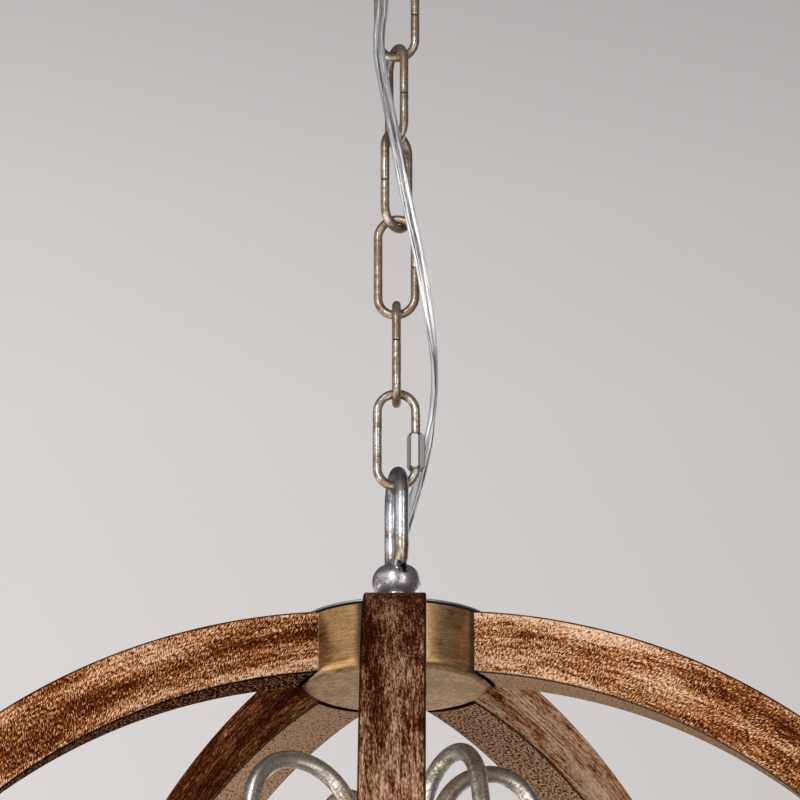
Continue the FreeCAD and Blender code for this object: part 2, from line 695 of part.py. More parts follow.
def top_hub(arm_paths):
    """The hanging loop, the top drum with its lid, and the column and body under it."""
    bore = NIPPLE_R + THREAD_GAP
    save("hanging_loop", turned_in_plan(cast_loop(), 90 + HUB_LOOP_TURN, V(0, 0, HUB_LOOP_SEAT)))
    lid = hub_lid()
    lid.translate(V(0, 0, HUB_TOP))
    save("top_hub_lid", lid)
    cup = hub_cup()
    cup.translate(V(0, 0, HUB_FLOOR))
    save("top_hub_cup", cup)
    save("hub_nipple", threaded_tube(BODY_TOP - BODY_THREAD_DEPTH, HUB_LOOP_SEAT + LOOP_THREAD_DEPTH))
    under_lid = hexagon(NUT_FLATS, HUB_TOP - NUT_HEIGHT, HUB_TOP, bore)
    on_floor = HUB_FLOOR + HUB_WALL
    save("hub_lock_nuts", Part.makeCompound([
        under_lid,
        hexagon(NUT_FLATS, on_floor, on_floor + NUT_HEIGHT, bore),
    ]))
    post = column()
    post.translate(V(0, 0, BODY_TOP))
    save("centre_column", post)
    save("cluster_body", cluster_body(arm_paths))
    drop = finial(DROP_R, DROP_LENGTH, DROP_STEM_LENGTH)
    drop.translate(V(0, 0, BODY_TOP - BODY_HEIGHT))
    save("cluster_drop", drop)


def globe():
    """The ribs with their screws, and the bottom drum with its lid and finial."""
    one_rib = rib()
    top_screws = []
    bottom_screws = []
    for i, azimuth in enumerate(RIB_AZIMUTHS):
        save("rib_%d" % (i + 1), placed(one_rib, azimuth))
        for height in screw_heights():
            top_screws.append(placed(rib_screw(HUB_FLOOR + height), azimuth))
            bottom_screws.append(placed(rib_screw(LOWER_FLOOR - height), azimuth))
    save("top_rib_screws", Part.makeCompound(top_screws))
    save("bottom_rib_screws", Part.makeCompound(bottom_screws))
    cup = hub_cup()
    cup.rotate(ORIGIN, V(0, 1, 0), 180)
    cup.translate(V(0, 0, LOWER_FLOOR))
    save("bottom_hub_cup", cup)
    lid = hub_lid()
    lid.rotate(ORIGIN, V(0, 1, 0), 180)
    lid_seat = LOWER_FLOOR - HUB_HEIGHT
    lid.translate(V(0, 0, lid_seat))
    save("bottom_hub_lid", lid)
    lid_height = LID_STEP + LID_THICK
    knob = finial(FINIAL_R, FINIAL_LENGTH, lid_height + HUB_HEIGHT + NUT_HEIGHT)
    knob.translate(V(0, 0, lid_seat - lid_height))
    save("bottom_finial", knob)
    stem_bore = FINIAL_STEM_R + THREAD_GAP
    washer = cylinder(FINIAL_NUT_FLATS, LOWER_FLOOR - HUB_WALL - WASHER_THICK, LOWER_FLOOR - HUB_WALL)
    save("finial_washer", washer.cut(cylinder(stem_bore, lid_seat, LOWER_FLOOR)))
    save("finial_nut", hexagon(FINIAL_NUT_FLATS, LOWER_FLOOR, LOWER_FLOOR + NUT_HEIGHT, stem_bore))


def cluster(arm_paths):
    """The arms with their wires and nuts, and the candles and lamps on them."""
    tip = arm_paths[0].OrderedVertexes[-1].Point
    candle_at = V(tip.x, 0, CUP_SEAT)
    nut = hexagon(CUP_NUT_FLATS, -NUT_HEIGHT, 0, ARM_R + THREAD_GAP)
    cup = drip_cup()
    holder = lamp_holder()
    holder.translate(V(0, 0, CUP_WALL))
    sleeve = cylinder(SLEEVE_R, 0, SLEEVE_HEIGHT).cut(cylinder(SLEEVE_R - SLEEVE_WALL, 0, SLEEVE_HEIGHT))
    sleeve.translate(V(0, 0, CUP_WALL))
    cap = lamp_cap()
    glass = lamp_glass()
    for piece in (cap, glass):
        piece.translate(V(0, 0, CUP_WALL + HOLDER_HEIGHT + SLIDE_GAP))
    for piece in (nut, cup, holder, sleeve, cap, glass):
        piece.translate(candle_at)
    nuts = []
    leads = []
    for i, azimuth in enumerate(ARM_AZIMUTHS):
        suffix = "_%d" % (i + 1)
        arm = tube_along(arm_paths[i], ARM_R).cut(tube_along(arm_paths[i], ARM_BORE_R))
        save("arm" + suffix, placed(arm, azimuth))
        save("drip_cup" + suffix, placed(cup, azimuth))
        save("lamp_holder" + suffix, placed(holder, azimuth))
        save("candle_sleeve" + suffix, placed(sleeve, azimuth))
        save("bulb_cap" + suffix, placed(cap, azimuth))
        save("bulb_glass" + suffix, placed(glass, azimuth))
        nuts.append(placed(nut, azimuth))
        leads.append(placed(tube_along(arm_paths[i], ARM_WIRE_R), azimuth))
    save("cup_nuts", Part.makeCompound(nuts))
    save("arm_wires", Part.makeCompound(leads))


def main():
    """Build every piece of the light."""
    os.makedirs("parts", exist_ok=True)
    arm_paths = [arm_path(lift) for lift in ARM_LIFTS]
    ceiling_fitting()
    chain()
    top_hub(arm_paths)
    globe()
    cluster(arm_paths)
    save("supply_cord", cord())


main()
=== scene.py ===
"""Looks of a caged pendant light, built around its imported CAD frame.

Metres, +Z up. The origin is the centre of the canopy's rim on the ceiling, rib 1 faces -Y,
and azimuths run from -Y towards +X, as in the part's source.
"""

import json
import math

import bmesh
import bpy
import numpy as np
from bpy.props import FloatProperty, FloatVectorProperty, PointerProperty
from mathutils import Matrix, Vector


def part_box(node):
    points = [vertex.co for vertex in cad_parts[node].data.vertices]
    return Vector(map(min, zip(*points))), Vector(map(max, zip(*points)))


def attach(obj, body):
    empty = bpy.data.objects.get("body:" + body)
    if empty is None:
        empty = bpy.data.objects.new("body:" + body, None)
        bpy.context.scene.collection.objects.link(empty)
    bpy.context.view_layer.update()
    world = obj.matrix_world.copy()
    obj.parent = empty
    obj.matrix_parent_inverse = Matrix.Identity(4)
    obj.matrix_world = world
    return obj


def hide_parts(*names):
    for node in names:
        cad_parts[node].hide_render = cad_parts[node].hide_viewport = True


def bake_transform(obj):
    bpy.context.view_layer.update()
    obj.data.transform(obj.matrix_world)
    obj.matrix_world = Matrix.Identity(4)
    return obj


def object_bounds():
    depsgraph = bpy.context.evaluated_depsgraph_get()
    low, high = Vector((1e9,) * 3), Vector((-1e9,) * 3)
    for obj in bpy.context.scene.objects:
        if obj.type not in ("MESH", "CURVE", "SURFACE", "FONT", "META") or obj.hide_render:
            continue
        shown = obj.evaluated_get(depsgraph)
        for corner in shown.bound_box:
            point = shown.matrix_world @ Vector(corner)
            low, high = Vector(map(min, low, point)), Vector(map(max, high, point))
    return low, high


bl_info = {
    "name": "Caged pendant light",
    "version": (1, 0, 0),
    "blender": (4, 5, 0),
    "location": "View3D > Sidebar > Pendant",
    "description": "Dresses a caged pendant light: stained ribs, rubbed metal, clear cord, lamps, studio",
    "category": "Object",
}

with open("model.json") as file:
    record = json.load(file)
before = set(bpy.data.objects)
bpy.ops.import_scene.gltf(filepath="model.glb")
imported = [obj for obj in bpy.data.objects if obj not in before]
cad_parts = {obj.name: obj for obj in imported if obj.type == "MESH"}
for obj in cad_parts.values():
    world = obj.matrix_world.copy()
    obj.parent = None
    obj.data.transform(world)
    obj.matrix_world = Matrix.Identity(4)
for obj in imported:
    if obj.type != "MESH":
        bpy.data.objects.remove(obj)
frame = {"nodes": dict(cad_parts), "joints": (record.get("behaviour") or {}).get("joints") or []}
NODES = frame["nodes"]
CAD_BOX = [list(corner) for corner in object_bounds()]
MM = 0.001

# Route of the supply cord in millimetres, as in the part's source
CORD_ROUTE = (
    (0, 0, -42),
    (-0.8, -0.6, -66),
    (-9.6, -8.4, -89),
    (-5.4, -11, -114),
    (-8.8, -11.6, -137.5),
    (-4.6, -11.8, -161.5),
    (0, -11.6, -186),
    (4.6, -10.6, -211.5),
    (10.4, -9.4, -239.5),
    (14.8, -6.4, -267),
    (17.4, -1, -291),
    (15, 7, -314),
    (10.6, 10.6, -333.5),
    (6, 5.4, -351),
    (0.8, 0.6, -370),
    (0, 0, -387),
)
# How the flat cord turns on its way down: height in millimetres, turn of its width in degrees
CORD_TURNS = (
    (-387, 0),
    (-360, 30),
    (-335, 38),
    (-322, 42),
    (-309, 78),
    (-286, 76),
    (-268, 42),
    (-245, 22),
    (-200, 12),
    (-130, 8),
    (-42, 0),
)
# The bodies that the cord hangs beside, from the ceiling down
CORD_BODIES = ("ceiling_fitting", "link_1", "link_2", "link_3", "link_4", "link_5", "screw_link", "fixture")
CORD_COLUMNS = 36

RIB_COUNT = 5
RIB_ROWS = 181
# How pale each rib is, from the front one to the right: by the hubs, away from them, inside.
# Partly the stain's own variation, and partly painted light and shade, which makes a face
# paler or darker as if it were lit or shaded
RIB_TONES = (
    (0.2, 0.78, 0.3),
    (0.7, 0.46, 1.55),
    (0.9, 0.94, 0.74),
    (0.26, 0.3, 1.62),
    (0.46, 0.47, -0.65),
)
# Shares of a rib's length between which it passes from the one tone to the other: the front rib, the rest
FRONT_SPAN = (0.2, 0.32)
SIDE_SPAN = (0.05, 0.18)
# How far the strokes on each rib's sides run lengthwise, from 0 to 1, and the run from which stain is dusty
SIDE_RUN = 0.36
DUSTY_RUN = 0.78
GRAIN_RUNS = (SIDE_RUN, SIDE_RUN, 0.85, 0.8, SIDE_RUN)
# Where the grain of each rib starts in the pattern, in metres, and how far apart the ribs lie across it
GRAIN_STARTS = (3.3, 5.47, 6.04, 7.41, 8.78)
GRAIN_STEP = 0.43
# Shares of half a rib's depth at which its outer or inner face begins, and is whole
FACE_SPAN = (0.93, 0.98)

LAMP_COUNT = 4
LINK_COUNT = 5
# Where each link's butt seam is: the leg, 1 or -1, and the rise above the link's middle in millimetres
LINK_SEAM_SIDES = (1, 1, 1, -1, -1)
LINK_SEAM_RISES = (-2.0, -2.0, -2.0, -1.0, 3.7)

# Shares of the turn from one rib to the next between which a painted shadow, or a painted highlight, comes up
# on the hub
HUB_SHADOW_SPAN = (0.62, 0.715)
HUB_HIGHLIGHT_SPAN = (0.272, 0.258)

# Colours of grime, rubbing and gaps, and of painted shadow, shade and highlight
EDGE_DARK_AND_GAP_SHADOW = (0.010, 0.004, 0.002)
PIT_DIRT = (0.06, 0.045, 0.034)
SEAM_DIRT_AND_SHADOW = (0.02, 0.016, 0.012)
HOLLOW_SHADOW = (0.012, 0.011, 0.012)
HUB_FLANK_SHADOW = (0.012, 0.008, 0.005)
HUB_FLANK_HIGHLIGHT = (0.5, 0.44, 0.37)
LOOP_TOP_SHADE = (0.115, 0.115, 0.13)
LOOP_BRONZE = (0.30, 0.175, 0.07)
GAP_BLACK = (0.008, 0.007, 0.006)

# Where metal sees the bright side of the room: in front, to the left
WINDOW_SIDE = (-0.88, -0.47, 0.0)
# Name, place, width and height in metres, and power in watts of each soft lamp
SOFTBOXES = (
    ("key_light", (-0.8, -2.1, 0.25), (0.6, 1.5), 29),
    ("fill_light", (1.1, -2.0, -0.2), (0.6, 1.3), 12),
    ("low_light", (0.5, -1.7, -1.9), (2.6, 1.8), 30),
    ("back_light", (0.7, 1.9, -0.2), (1.8, 1.8), 10),
)
SENSOR_WIDTH = 36

# Kinds of settings
LENGTH = {"unit": "LENGTH", "precision": 5}
ANGLE = {"subtype": "ANGLE"}
COLOUR = {"subtype": "COLOR"}


def setting(name, description, default, **kind):
    """A property of this kind, for one number or, where the default is a tuple, for several."""
    make = FloatVectorProperty if isinstance(default, tuple) else FloatProperty
    return make(name=name, description=description, default=default, **kind)


class RibSettings(bpy.types.PropertyGroup):
    """Sizes and stain of the bent-wood ribs."""

    depth: setting("Depth", "Radial depth of a rib", 27 * MM, **LENGTH)
    edge: setting("Eased edge", "Radius of the eased long edges", 0.85 * MM, **LENGTH)
    stain: setting("Stain", "Red-brown of the stained wood", (0.25, 0.068, 0.0105), **COLOUR)
    brown: setting("Brown", "Brown of the denser stain", (0.092, 0.018, 0.0025), **COLOUR)
    orange: setting("Orange", "Orange where the stain is thin", (0.47, 0.195, 0.060), **COLOUR)
    dark_stain: setting("Dark stain", "Brown where the stain has gathered", (0.026, 0.0035, 0.0006), **COLOUR)
    wash: setting("Wash", "Pale wash left in the figure", (0.78, 0.55, 0.385), **COLOUR)
    front: setting("Outer face", "Deep brown of the outer faces", (0.090, 0.025, 0.0075), **COLOUR)
    streak: setting("Outer streak", "Paler streaks of the outer faces", (0.195, 0.088, 0.045), **COLOUR)
    bare: setting("Inner face", "Dull brown of the inner faces", (0.39, 0.20, 0.115), **COLOUR)
    pale: setting("Pale figure", "Pale brown in the inner faces", (0.68, 0.43, 0.27), **COLOUR)


class MetalSettings(bpy.types.PropertyGroup):
    """Colours of the metal finishes."""

    silver: setting("Silver", "Warm silver of the chain", (0.46, 0.405, 0.35), **COLOUR)
    loop: setting("Loop silver", "Cool silver of the loops", (0.60, 0.60, 0.635), **COLOUR)
    arm: setting("Arm silver", "Dull silver of the arms", (0.58, 0.545, 0.50), **COLOUR)
    nut: setting("Nut silver", "Satin silver of the sleeve nut", (0.43, 0.415, 0.405), **COLOUR)
    rub: setting("Rub", "Bronze rub over the silver", (0.19, 0.12, 0.068), **COLOUR)
    gold: setting("Gold", "Brushed gold of the hub drums", (0.42, 0.238, 0.098), **COLOUR)


class ChainSettings(bpy.types.PropertyGroup):
    """Sizes of the chain's links."""

    wire: setting("Wire", "Thickness of a link's wire", 3.9 * MM, **LENGTH)
    width: setting("Width", "Width of a link", 20.5 * MM, **LENGTH)
    turns: setting(
        "Turns", "How far each link is turned, in degrees", (0, -66, -128, -188, -270), size=LINK_COUNT
    )


class CordSettings(bpy.types.PropertyGroup):
    """Sizes of the flat twin cord."""

    width: setting("Width", "Width of the flat cord", 5.5 * MM, **LENGTH)
    thickness: setting("Thickness", "Thickness of the flat cord", 2.8 * MM, **LENGTH)
    bundle: setting("Bundle", "Radius of one bundle of strands", 1.05 * MM, **LENGTH)


class StageSettings(bpy.types.PropertyGroup):
    """Camera, backdrop and floor."""

    eye: setting("Eye", "Place of the camera", (0.01637, -2.1139, -1.01903), subtype="TRANSLATION")
    pitch: setting("Pitch", "How far the camera looks up", 0.32705, **ANGLE)
    pan: setting("Pan", "How far the camera turns to the left", 0.00704, **ANGLE)
    lens: setting("Lens", "Focal length in millimetres on a 36 mm sensor", 228.03)
    wall: setting("Wall", "Colour of the backdrop at its palest", (0.625, 0.598, 0.590), **COLOUR)
    floor: setting("Floor", "Colour of the floor", (0.62, 0.60, 0.58), **COLOUR)
    floor_drop: setting("Floor drop", "Height of the lowest piece above the floor", 1.37, **LENGTH)


class Value:
    """A shader value. Arithmetic on it adds Math nodes to its material."""

    def __init__(self, paint, socket):
        self.paint = paint
        self.socket = socket

    def __add__(self, other):
        return self.paint.function("ADD", self, other)

    def __sub__(self, other):
        return self.paint.function("SUBTRACT", self, other)

    def __rsub__(self, other):
        return self.paint.function("SUBTRACT", other, self)

    def __mul__(self, other):
        return self.paint.function("MULTIPLY", self, other)

    __radd__ = __add__
    __rmul__ = __mul__


class Paint:
    """The node tree of a material or a world, written as expressions on values."""

    def __init__(self, owner):
        owner.use_nodes = True
        self.owner = owner
        self.tree = owner.node_tree
        self.tree.nodes.clear()

    def node(self, kind, settings=None, inputs=None, out=0):
        """Adds a node, makes its settings and then its inputs, and wraps one output."""
        made = self.tree.nodes.new(kind)
        for key, value in (settings or {}).items():
            if key == "stops":
                self._set_stops(made.color_ramp, value)
            else:
                setattr(made, key, value)
        for key, value in (inputs or {}).items():
            if isinstance(value, Value):
                self.tree.links.new(value.socket, made.inputs[key])
            else:
                made.inputs[key].default_value = value
        return Value(self, made.outputs[out]) if made.outputs else None

    @staticmethod
    def _set_stops(ramp, stops):
        while len(ramp.elements) < len(stops):
            ramp.elements.new(1.0)
        for element, (position, colour) in zip(ramp.elements, stops):
            element.position = position
            element.color = rgba(colour)

    def function(self, operation, *values):
        return self.node("ShaderNodeMath", {"operation": operation}, dict(enumerate(values)))

    def measure(self, operation, *vectors):
        """A number from vectors, such as their distance."""
        settings = {"operation": operation}
        return self.node("ShaderNodeVectorMath", settings, dict(enumerate(vectors)), out="Value")

    def object_place(self):
        return self.node("ShaderNodeTexCoord", out="Object")

    def own_map(self):
        """The piece's own UV map, in metres along it and round it."""
        return self.node("ShaderNodeUVMap", {"uv_map": "grain"})

    def carried_value(self, name):
        return self.node("ShaderNodeAttribute", {"attribute_name": name}, out="Fac")

    def part(self, vector, axis):
        return self.node("ShaderNodeSeparateXYZ", None, {0: vector}, out=axis)

    def from_axis(self, place):
        """Distance from the light's vertical axis."""
        across = self.node("ShaderNodeVectorMath", {"operation": "MULTIPLY"}, {0: place, 1: (1, 1, 0)})
        return self.measure("LENGTH", across)

    def rays(self, kind):
        return self.node("ShaderNodeLightPath", out=f"Is {kind} Ray")

    def noise(self, vector, scale=1.0, detail=3.0, roughness=0.55, settings=None):
        """Noise with so many lumps to a metre."""
        inputs = {"Vector": vector, "Scale": scale, "Detail": detail, "Roughness": roughness}
        return self.node("ShaderNodeTexNoise", settings, inputs)

    def strokes(self, vector, length, width, turn=0.0, detail=2.0):
        """Noise drawn out into strokes of about this size, turned from the first axis."""
        inputs = {"Vector": vector, "Rotation": (0, 0, turn), "Scale": (length, width, 1)}
        drawn = self.node("ShaderNodeMapping", {"vector_type": "TEXTURE"}, inputs)
        return self.noise(drawn, detail=detail, settings={"noise_dimensions": "2D"})

    def ease(self, value, low, high):
        """0 below low and 1 above high, smooth between, or falling where high is the lower."""
        inputs = {"Value": value, "From Min": low, "From Max": high}
        return self.node("ShaderNodeMapRange", {"interpolation_type": "SMOOTHSTEP"}, inputs)

    def mix(self, factor, first, second, way="MIX"):
        settings = {"data_type": "RGBA", "blend_type": way}
        colours = [c if isinstance(c, Value) else rgba(c) for c in (first, second)]
        return self.node("ShaderNodeMix", settings, {0: factor, 6: colours[0], 7: colours[1]}, out=2)

    def ramp(self, value, stops):
        """A colour that passes through the stops, each a position and a colour."""
        return self.node("ShaderNodeValToRGB", {"stops": stops}, {"Fac": value})

    def bump(self, height, depth, strength):
        inputs = {"Height": height, "Distance": depth, "Strength": strength}
        return self.node("ShaderNodeBump", None, inputs)

    def principled(self, inputs):
        return self.node("ShaderNodeBsdfPrincipled", None, inputs)

    def surface(self, shader):
        """Joins a shader to the output and gives the material."""
        self.node("ShaderNodeOutputMaterial", None, {"Surface": shader})
        return self.owner

    def finished(self, inputs):
        """The material, with these sockets of the principled shader."""
        return self.surface(self.principled(inputs))


def rgba(colour):
    return (*colour[:3], 1.0)


def shade(colour, strength):
    """A colour made so many times as bright."""
    return tuple(c * strength for c in colour)


def between(first, second, share):
    """A value that passes from the first to the second as share goes from 0 to 1."""
    return first + (second - first) * share


def new_paint(name):
    """The paint of a new material."""
    return Paint(bpy.data.materials.new(name))


def stained_wood(settings):
    """Distressed stain: soft patches and fine strokes add up to one level, from dark stain to pale wash.

    The strokes run lengthwise on a rib's outer face and are dots on its inner face. On its sides they
    slant, and run more lengthwise and dustier by the attribute run. The level also rises towards the
    faces with the square of the depth.
    """
    paint = new_paint("stained_wood")
    place = paint.own_map()
    depth = paint.carried_value("depth")
    run = paint.carried_value("run")
    inner_tone = paint.carried_value("inner_tone")
    outer = paint.ease(depth, *FACE_SPAN)
    inner = paint.ease(depth * -1, *FACE_SPAN)
    dusty = paint.ease(run, SIDE_RUN, DUSTY_RUN) * (1 - inner)
    patches = paint.strokes(place, 80 * MM, 10 * MM, turn=0.04, detail=4)
    sway = paint.ease(paint.noise(place, 70, detail=1), 0.4, 0.6)
    steep = paint.strokes(place, 1.7 * MM, 0.52 * MM, turn=1.2)
    slanting = between(steep, paint.strokes(place, 1.8 * MM, 0.52 * MM, turn=0.7), sway)
    streaks = paint.strokes(place, 13 * MM, 1.1 * MM, turn=0.02, detail=4)
    lengthwise = between(streaks, paint.strokes(place, 3 * MM, 0.45 * MM, turn=0.05), 0.5)
    dots = between(paint.strokes(place, 1.7 * MM, 0.85 * MM, turn=0.1, detail=1), lengthwise, 0.2)
    crossed = between(slanting, lengthwise, run)
    fine = crossed + (lengthwise - crossed) * outer + (dots - crossed) * inner
    soft = (patches - 0.5) * (1.9 - inner * 1.3 + outer * 0.6)
    marks = (fine - 0.5) * (5.2 + inner * 4.4 - outer * 0.2)
    # The rib's tone, partly stain and partly painted light and shade, sets the ground of the level
    ground = between(paint.carried_value("tone"), inner_tone, inner)
    level = (soft + marks) * (1 - dusty * 0.2) + depth * depth * 0.26 + ground - 0.12
    stain = paint.ramp(level * 0.85 + 0.07, [
        (0.03, settings.dark_stain),
        (0.3, settings.brown),
        (0.5, settings.stain),
        (0.7, settings.orange),
        (0.98, settings.wash),
    ])
    front = paint.ramp(level * 0.6 + 0.14, [
        (0.12, settings.dark_stain),
        (0.38, settings.front),
        (0.56, settings.streak),
        (0.72, shade(settings.bare, 0.75)),
        (0.95, shade(settings.pale, 0.75)),
    ])
    dull = paint.ramp(level * 0.55 + 0.12, [
        (0.12, settings.dark_stain),
        (0.40, shade(settings.bare, 0.6)),
        (0.62, shade(settings.bare, 1.25)),
        (0.85, settings.pale),
    ])
    stain = paint.mix(outer + dusty * 0.45 * (1 - outer), stain, front)
    stain = paint.mix(inner * paint.ease(inner_tone, 0.0, 0.3), stain, dull)
    # Darker along the eased edges; on the inner faces by the drums, a painted shadow of the gap at each rib's
    # end
    line = paint.ease(paint.carried_value("edge"), 1.1 * MM, 0.45 * MM) * 0.9
    foot = paint.ease(paint.carried_value("end"), 2.4 * MM, 1.2 * MM) * inner
    return paint.finished({
        "Base Color": paint.mix(line + foot - line * foot, stain, EDGE_DARK_AND_GAP_SHADOW),
        "Roughness": 0.5 + level * 0.2,
        "Normal": paint.bump(fine, 0.5 * MM, 0.7),
        "Specular IOR Level": 0.0,
        "Coat Weight": (1 - inner) * 0.06,
        "Coat Roughness": 0.4,
        "Coat IOR": 1.35,
    })


def rubbed_silver(name, silver, rub_colour, cover, gloss=0.26, pits=0.3, metal=0.96, wear_and_shade=None):
    """Silver with a soft bronze rub over a share of it, fine dark pits, dark seams and further marks.

    The seams are the links' butt seams, and painted shadow on the nut; the further marks may hold painted
    shade.
    """
    paint = new_paint(name)
    place = paint.object_place()
    patches = paint.noise(place, 110, detail=4, roughness=0.65)
    grain = paint.noise(place, 900)
    specks = paint.noise(place, 1700, detail=2)
    middle = 0.72 - 0.44 * cover
    soft = 0.16
    rub = paint.ease(patches + (grain - 0.5) * (0.2 + 0.6 * pits), middle - soft, middle + soft)
    colour = paint.mix(rub, silver, rub_colour)
    colour = paint.mix(paint.ease(specks, 0.4, 0.28) * (0.3 + 0.3 * pits), colour, PIT_DIRT)
    # Dark seams: real on the links, painted shadow on the nut's ends and bore
    colour = paint.mix(paint.carried_value("seam"), colour, SEAM_DIRT_AND_SHADOW)
    if wear_and_shade:
        colour = wear_and_shade(paint, place, colour)
    return paint.finished({
        "Base Color": colour,
        "Metallic": metal * (1 - rub * 0.4),
        "Roughness": gloss + rub * 0.14 + (grain - 0.5) * 0.2 * pits,
        "Normal": paint.bump(grain + specks * 0.5, 0.05 * pits * MM, 0.5),
    })


def loop_wear_and_shade(paint, place, colour):
    """Painted shade on the top of the hanging loop, bronze rub down to its ball and a painted shadow in the
    hollow there.

    The painted shade and the rub start and end at heights below the loop's top, and the painted shadow lies
    about one point.
    """
    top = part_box("hanging_loop")[1].z
    height = paint.part(place, "Z")
    clouds = paint.noise(place, 320, detail=4) - 0.5
    # Painted shade: the top of the loop is darker
    top_shade = paint.ease(height + clouds * 4 * MM, top - 22 * MM, top - 12 * MM)
    colour = paint.mix(top_shade * 0.78, colour, LOOP_TOP_SHADE)
    rub = paint.ease(height + clouds * 14 * MM, top - 33 * MM, top - 41 * MM)
    rub = rub * paint.ease(height, top - 47 * MM, top - 44 * MM)
    colour = paint.mix(rub * 0.75, colour, LOOP_BRONZE)
    # Painted shadow where a wire hole at the loop's foot would show dark
    hollow = (2.6 * MM, -9.2 * MM, top - 48 * MM)
    away = paint.measure("DISTANCE", place, hollow) + clouds * 13 * MM
    return paint.mix(paint.ease(away, 3 * MM, 1.8 * MM), colour, HOLLOW_SHADOW)


def brushed_gold(settings):
    """Gold brushed round the drum's side and scratched on its flat end.

    The streaks follow height plus distance from the axis. A painted shadow lies beside one flank of each rib
    and a painted highlight beside the other, and both follow the share of the turn from one rib to the next.
    """
    paint = new_paint("antique_gold")
    place = paint.object_place()
    x, y, height = (paint.part(place, axis) for axis in "XYZ")
    facing = paint.part(paint.node("ShaderNodeNewGeometry", out="Normal"), "Z")
    flat = paint.ease(facing * facing, 0.6, 0.9)
    azimuth = paint.function("ARCTAN2", x, y * -1)
    share = paint.function("FLOORED_MODULO", azimuth * (RIB_COUNT / math.tau), 1.0)
    # Painted shadow beside one flank of each rib, painted highlight beside the other
    flank_shadow = paint.ease(share, *HUB_SHADOW_SPAN) * (1 - flat)
    flank_highlight = paint.ease(share, *HUB_HIGHLIGHT_SPAN) * (1 - flat)
    stains = paint.noise(place, 75, detail=5, roughness=0.65)
    ways = {"X": x * 130, "Y": y * 130, "Z": (height + paint.from_axis(place)) * 1500}
    brush = paint.noise(paint.node("ShaderNodeCombineXYZ", None, ways))
    scratch = paint.strokes(place, 5 * MM, 0.45 * MM, turn=0.5, detail=3)
    crossing = paint.strokes(place, 6 * MM, 0.5 * MM, turn=-0.9)
    scratch = between(scratch, crossing, paint.ease(stains, 0.4, 0.6))
    worn = between(brush, scratch, flat)
    grain = paint.noise(place, 1100, detail=2)
    level = 0.46 - flat * 0.12 + (worn - 0.5) * (0.8 + flat * 2.4)
    level = level + (stains - 0.5) * (0.9 + flat * 0.5) + (grain - 0.5) * (0.5 + flat)
    pale = tuple(min(1.0, c * 1.25 + 0.1) for c in settings.gold)
    colour = paint.ramp(level, [(0.2, shade(settings.gold, 0.4)), (0.5, settings.gold), (0.8, pale)])
    colour = paint.mix(flank_highlight * 0.5, colour, HUB_FLANK_HIGHLIGHT)
    return paint.finished({
        "Base Color": paint.mix(flank_shadow * 0.92, colour, HUB_FLANK_SHADOW),
        "Metallic": 0.85 - flank_shadow * 0.6 - flank_highlight * 0.4 - flat * 0.25,
        "Specular Tint": (0.62, 0.5, 0.36, 1.0),
        "Roughness": 0.33 + (worn - 0.5) * 0.3 + flank_shadow * 0.3,
        "Normal": paint.bump(worn + grain * 0.5, 0.05 * MM, 0.6),
    })


def speckled(name, colour, darker, metallic, roughness, grain_scale=600.0, extra=None):
    """A plain finish: one colour with faint clouds, fine grain in its gloss and a slight relief."""
    paint = new_paint(name)
    place = paint.object_place()
    clouds = paint.noise(place, 60)
    grain = paint.noise(place, grain_scale, detail=2)
    return paint.finished({
        "Base Color": paint.mix(paint.ease(clouds + (grain - 0.5) * 0.5, 0.35, 0.7), colour, darker),
        "Metallic": metallic,
        "Roughness": roughness + (grain - 0.5) * 0.16,
        "Normal": paint.bump(grain, 0.04 * MM, 0.4),
        **(extra or {}),
    })


def shadow_lid(name, step):
    """Silver lid whose step, at this height, is the black of a shadow gap."""
    paint = new_paint(f"{name}_silver")
    place = paint.object_place()
    away = paint.function("ABSOLUTE", paint.part(place, "Z") - step)
    gap = paint.ease(away, 1.08 * MM, 0.98 * MM)
    clouds = paint.noise(place, 90)
    grain = paint.noise(place, 800, detail=2)
    silver = paint.mix(paint.ease(clouds, 0.35, 0.7), (0.44, 0.43, 0.42), (0.32, 0.31, 0.30))
    return paint.finished({
        "Base Color": paint.mix(gap, silver, GAP_BLACK),
        "Metallic": (1 - gap) * 0.9,
        "Roughness": 0.46 + (grain - 0.5) * 0.16 + gap * 0.4,
        "Normal": paint.bump(grain, 0.04 * MM, 0.4),
    })


def ridged_brass():
    """Lamp-cap brass with the rolled thread as relief: a wave in height."""
    paint = new_paint("lamp_cap_brass")
    place = paint.object_place()
    pitch = 2.4 * MM
    wave = paint.function("SINE", paint.part(place, "Z") * (math.tau / pitch))
    grain = paint.noise(place, 500)
    return paint.finished({
        "Base Color": paint.mix(paint.ease(grain, 0.35, 0.7), (0.70, 0.50, 0.22), (0.52, 0.36, 0.15)),
        "Metallic": 1.0,
        "Roughness": 0.28 + grain * 0.15,
        "Normal": paint.bump(wave, 0.5 * MM, 0.8),
    })


def clear(name, tint, roughness, cover=1.0):
    """Clear glass or plastic, slightly wavy; a cover below 1 lets straight light through."""
    paint = new_paint(name)
    ripple = paint.noise(paint.object_place(), 160, detail=2)
    return paint.finished({
        "Base Color": rgba(tint),
        "Roughness": roughness,
        "IOR": 1.45,
        "Transmission Weight": 1.0,
        "Alpha": cover,
        "Normal": paint.bump(ripple, 0.03 * MM, 0.3),
    })


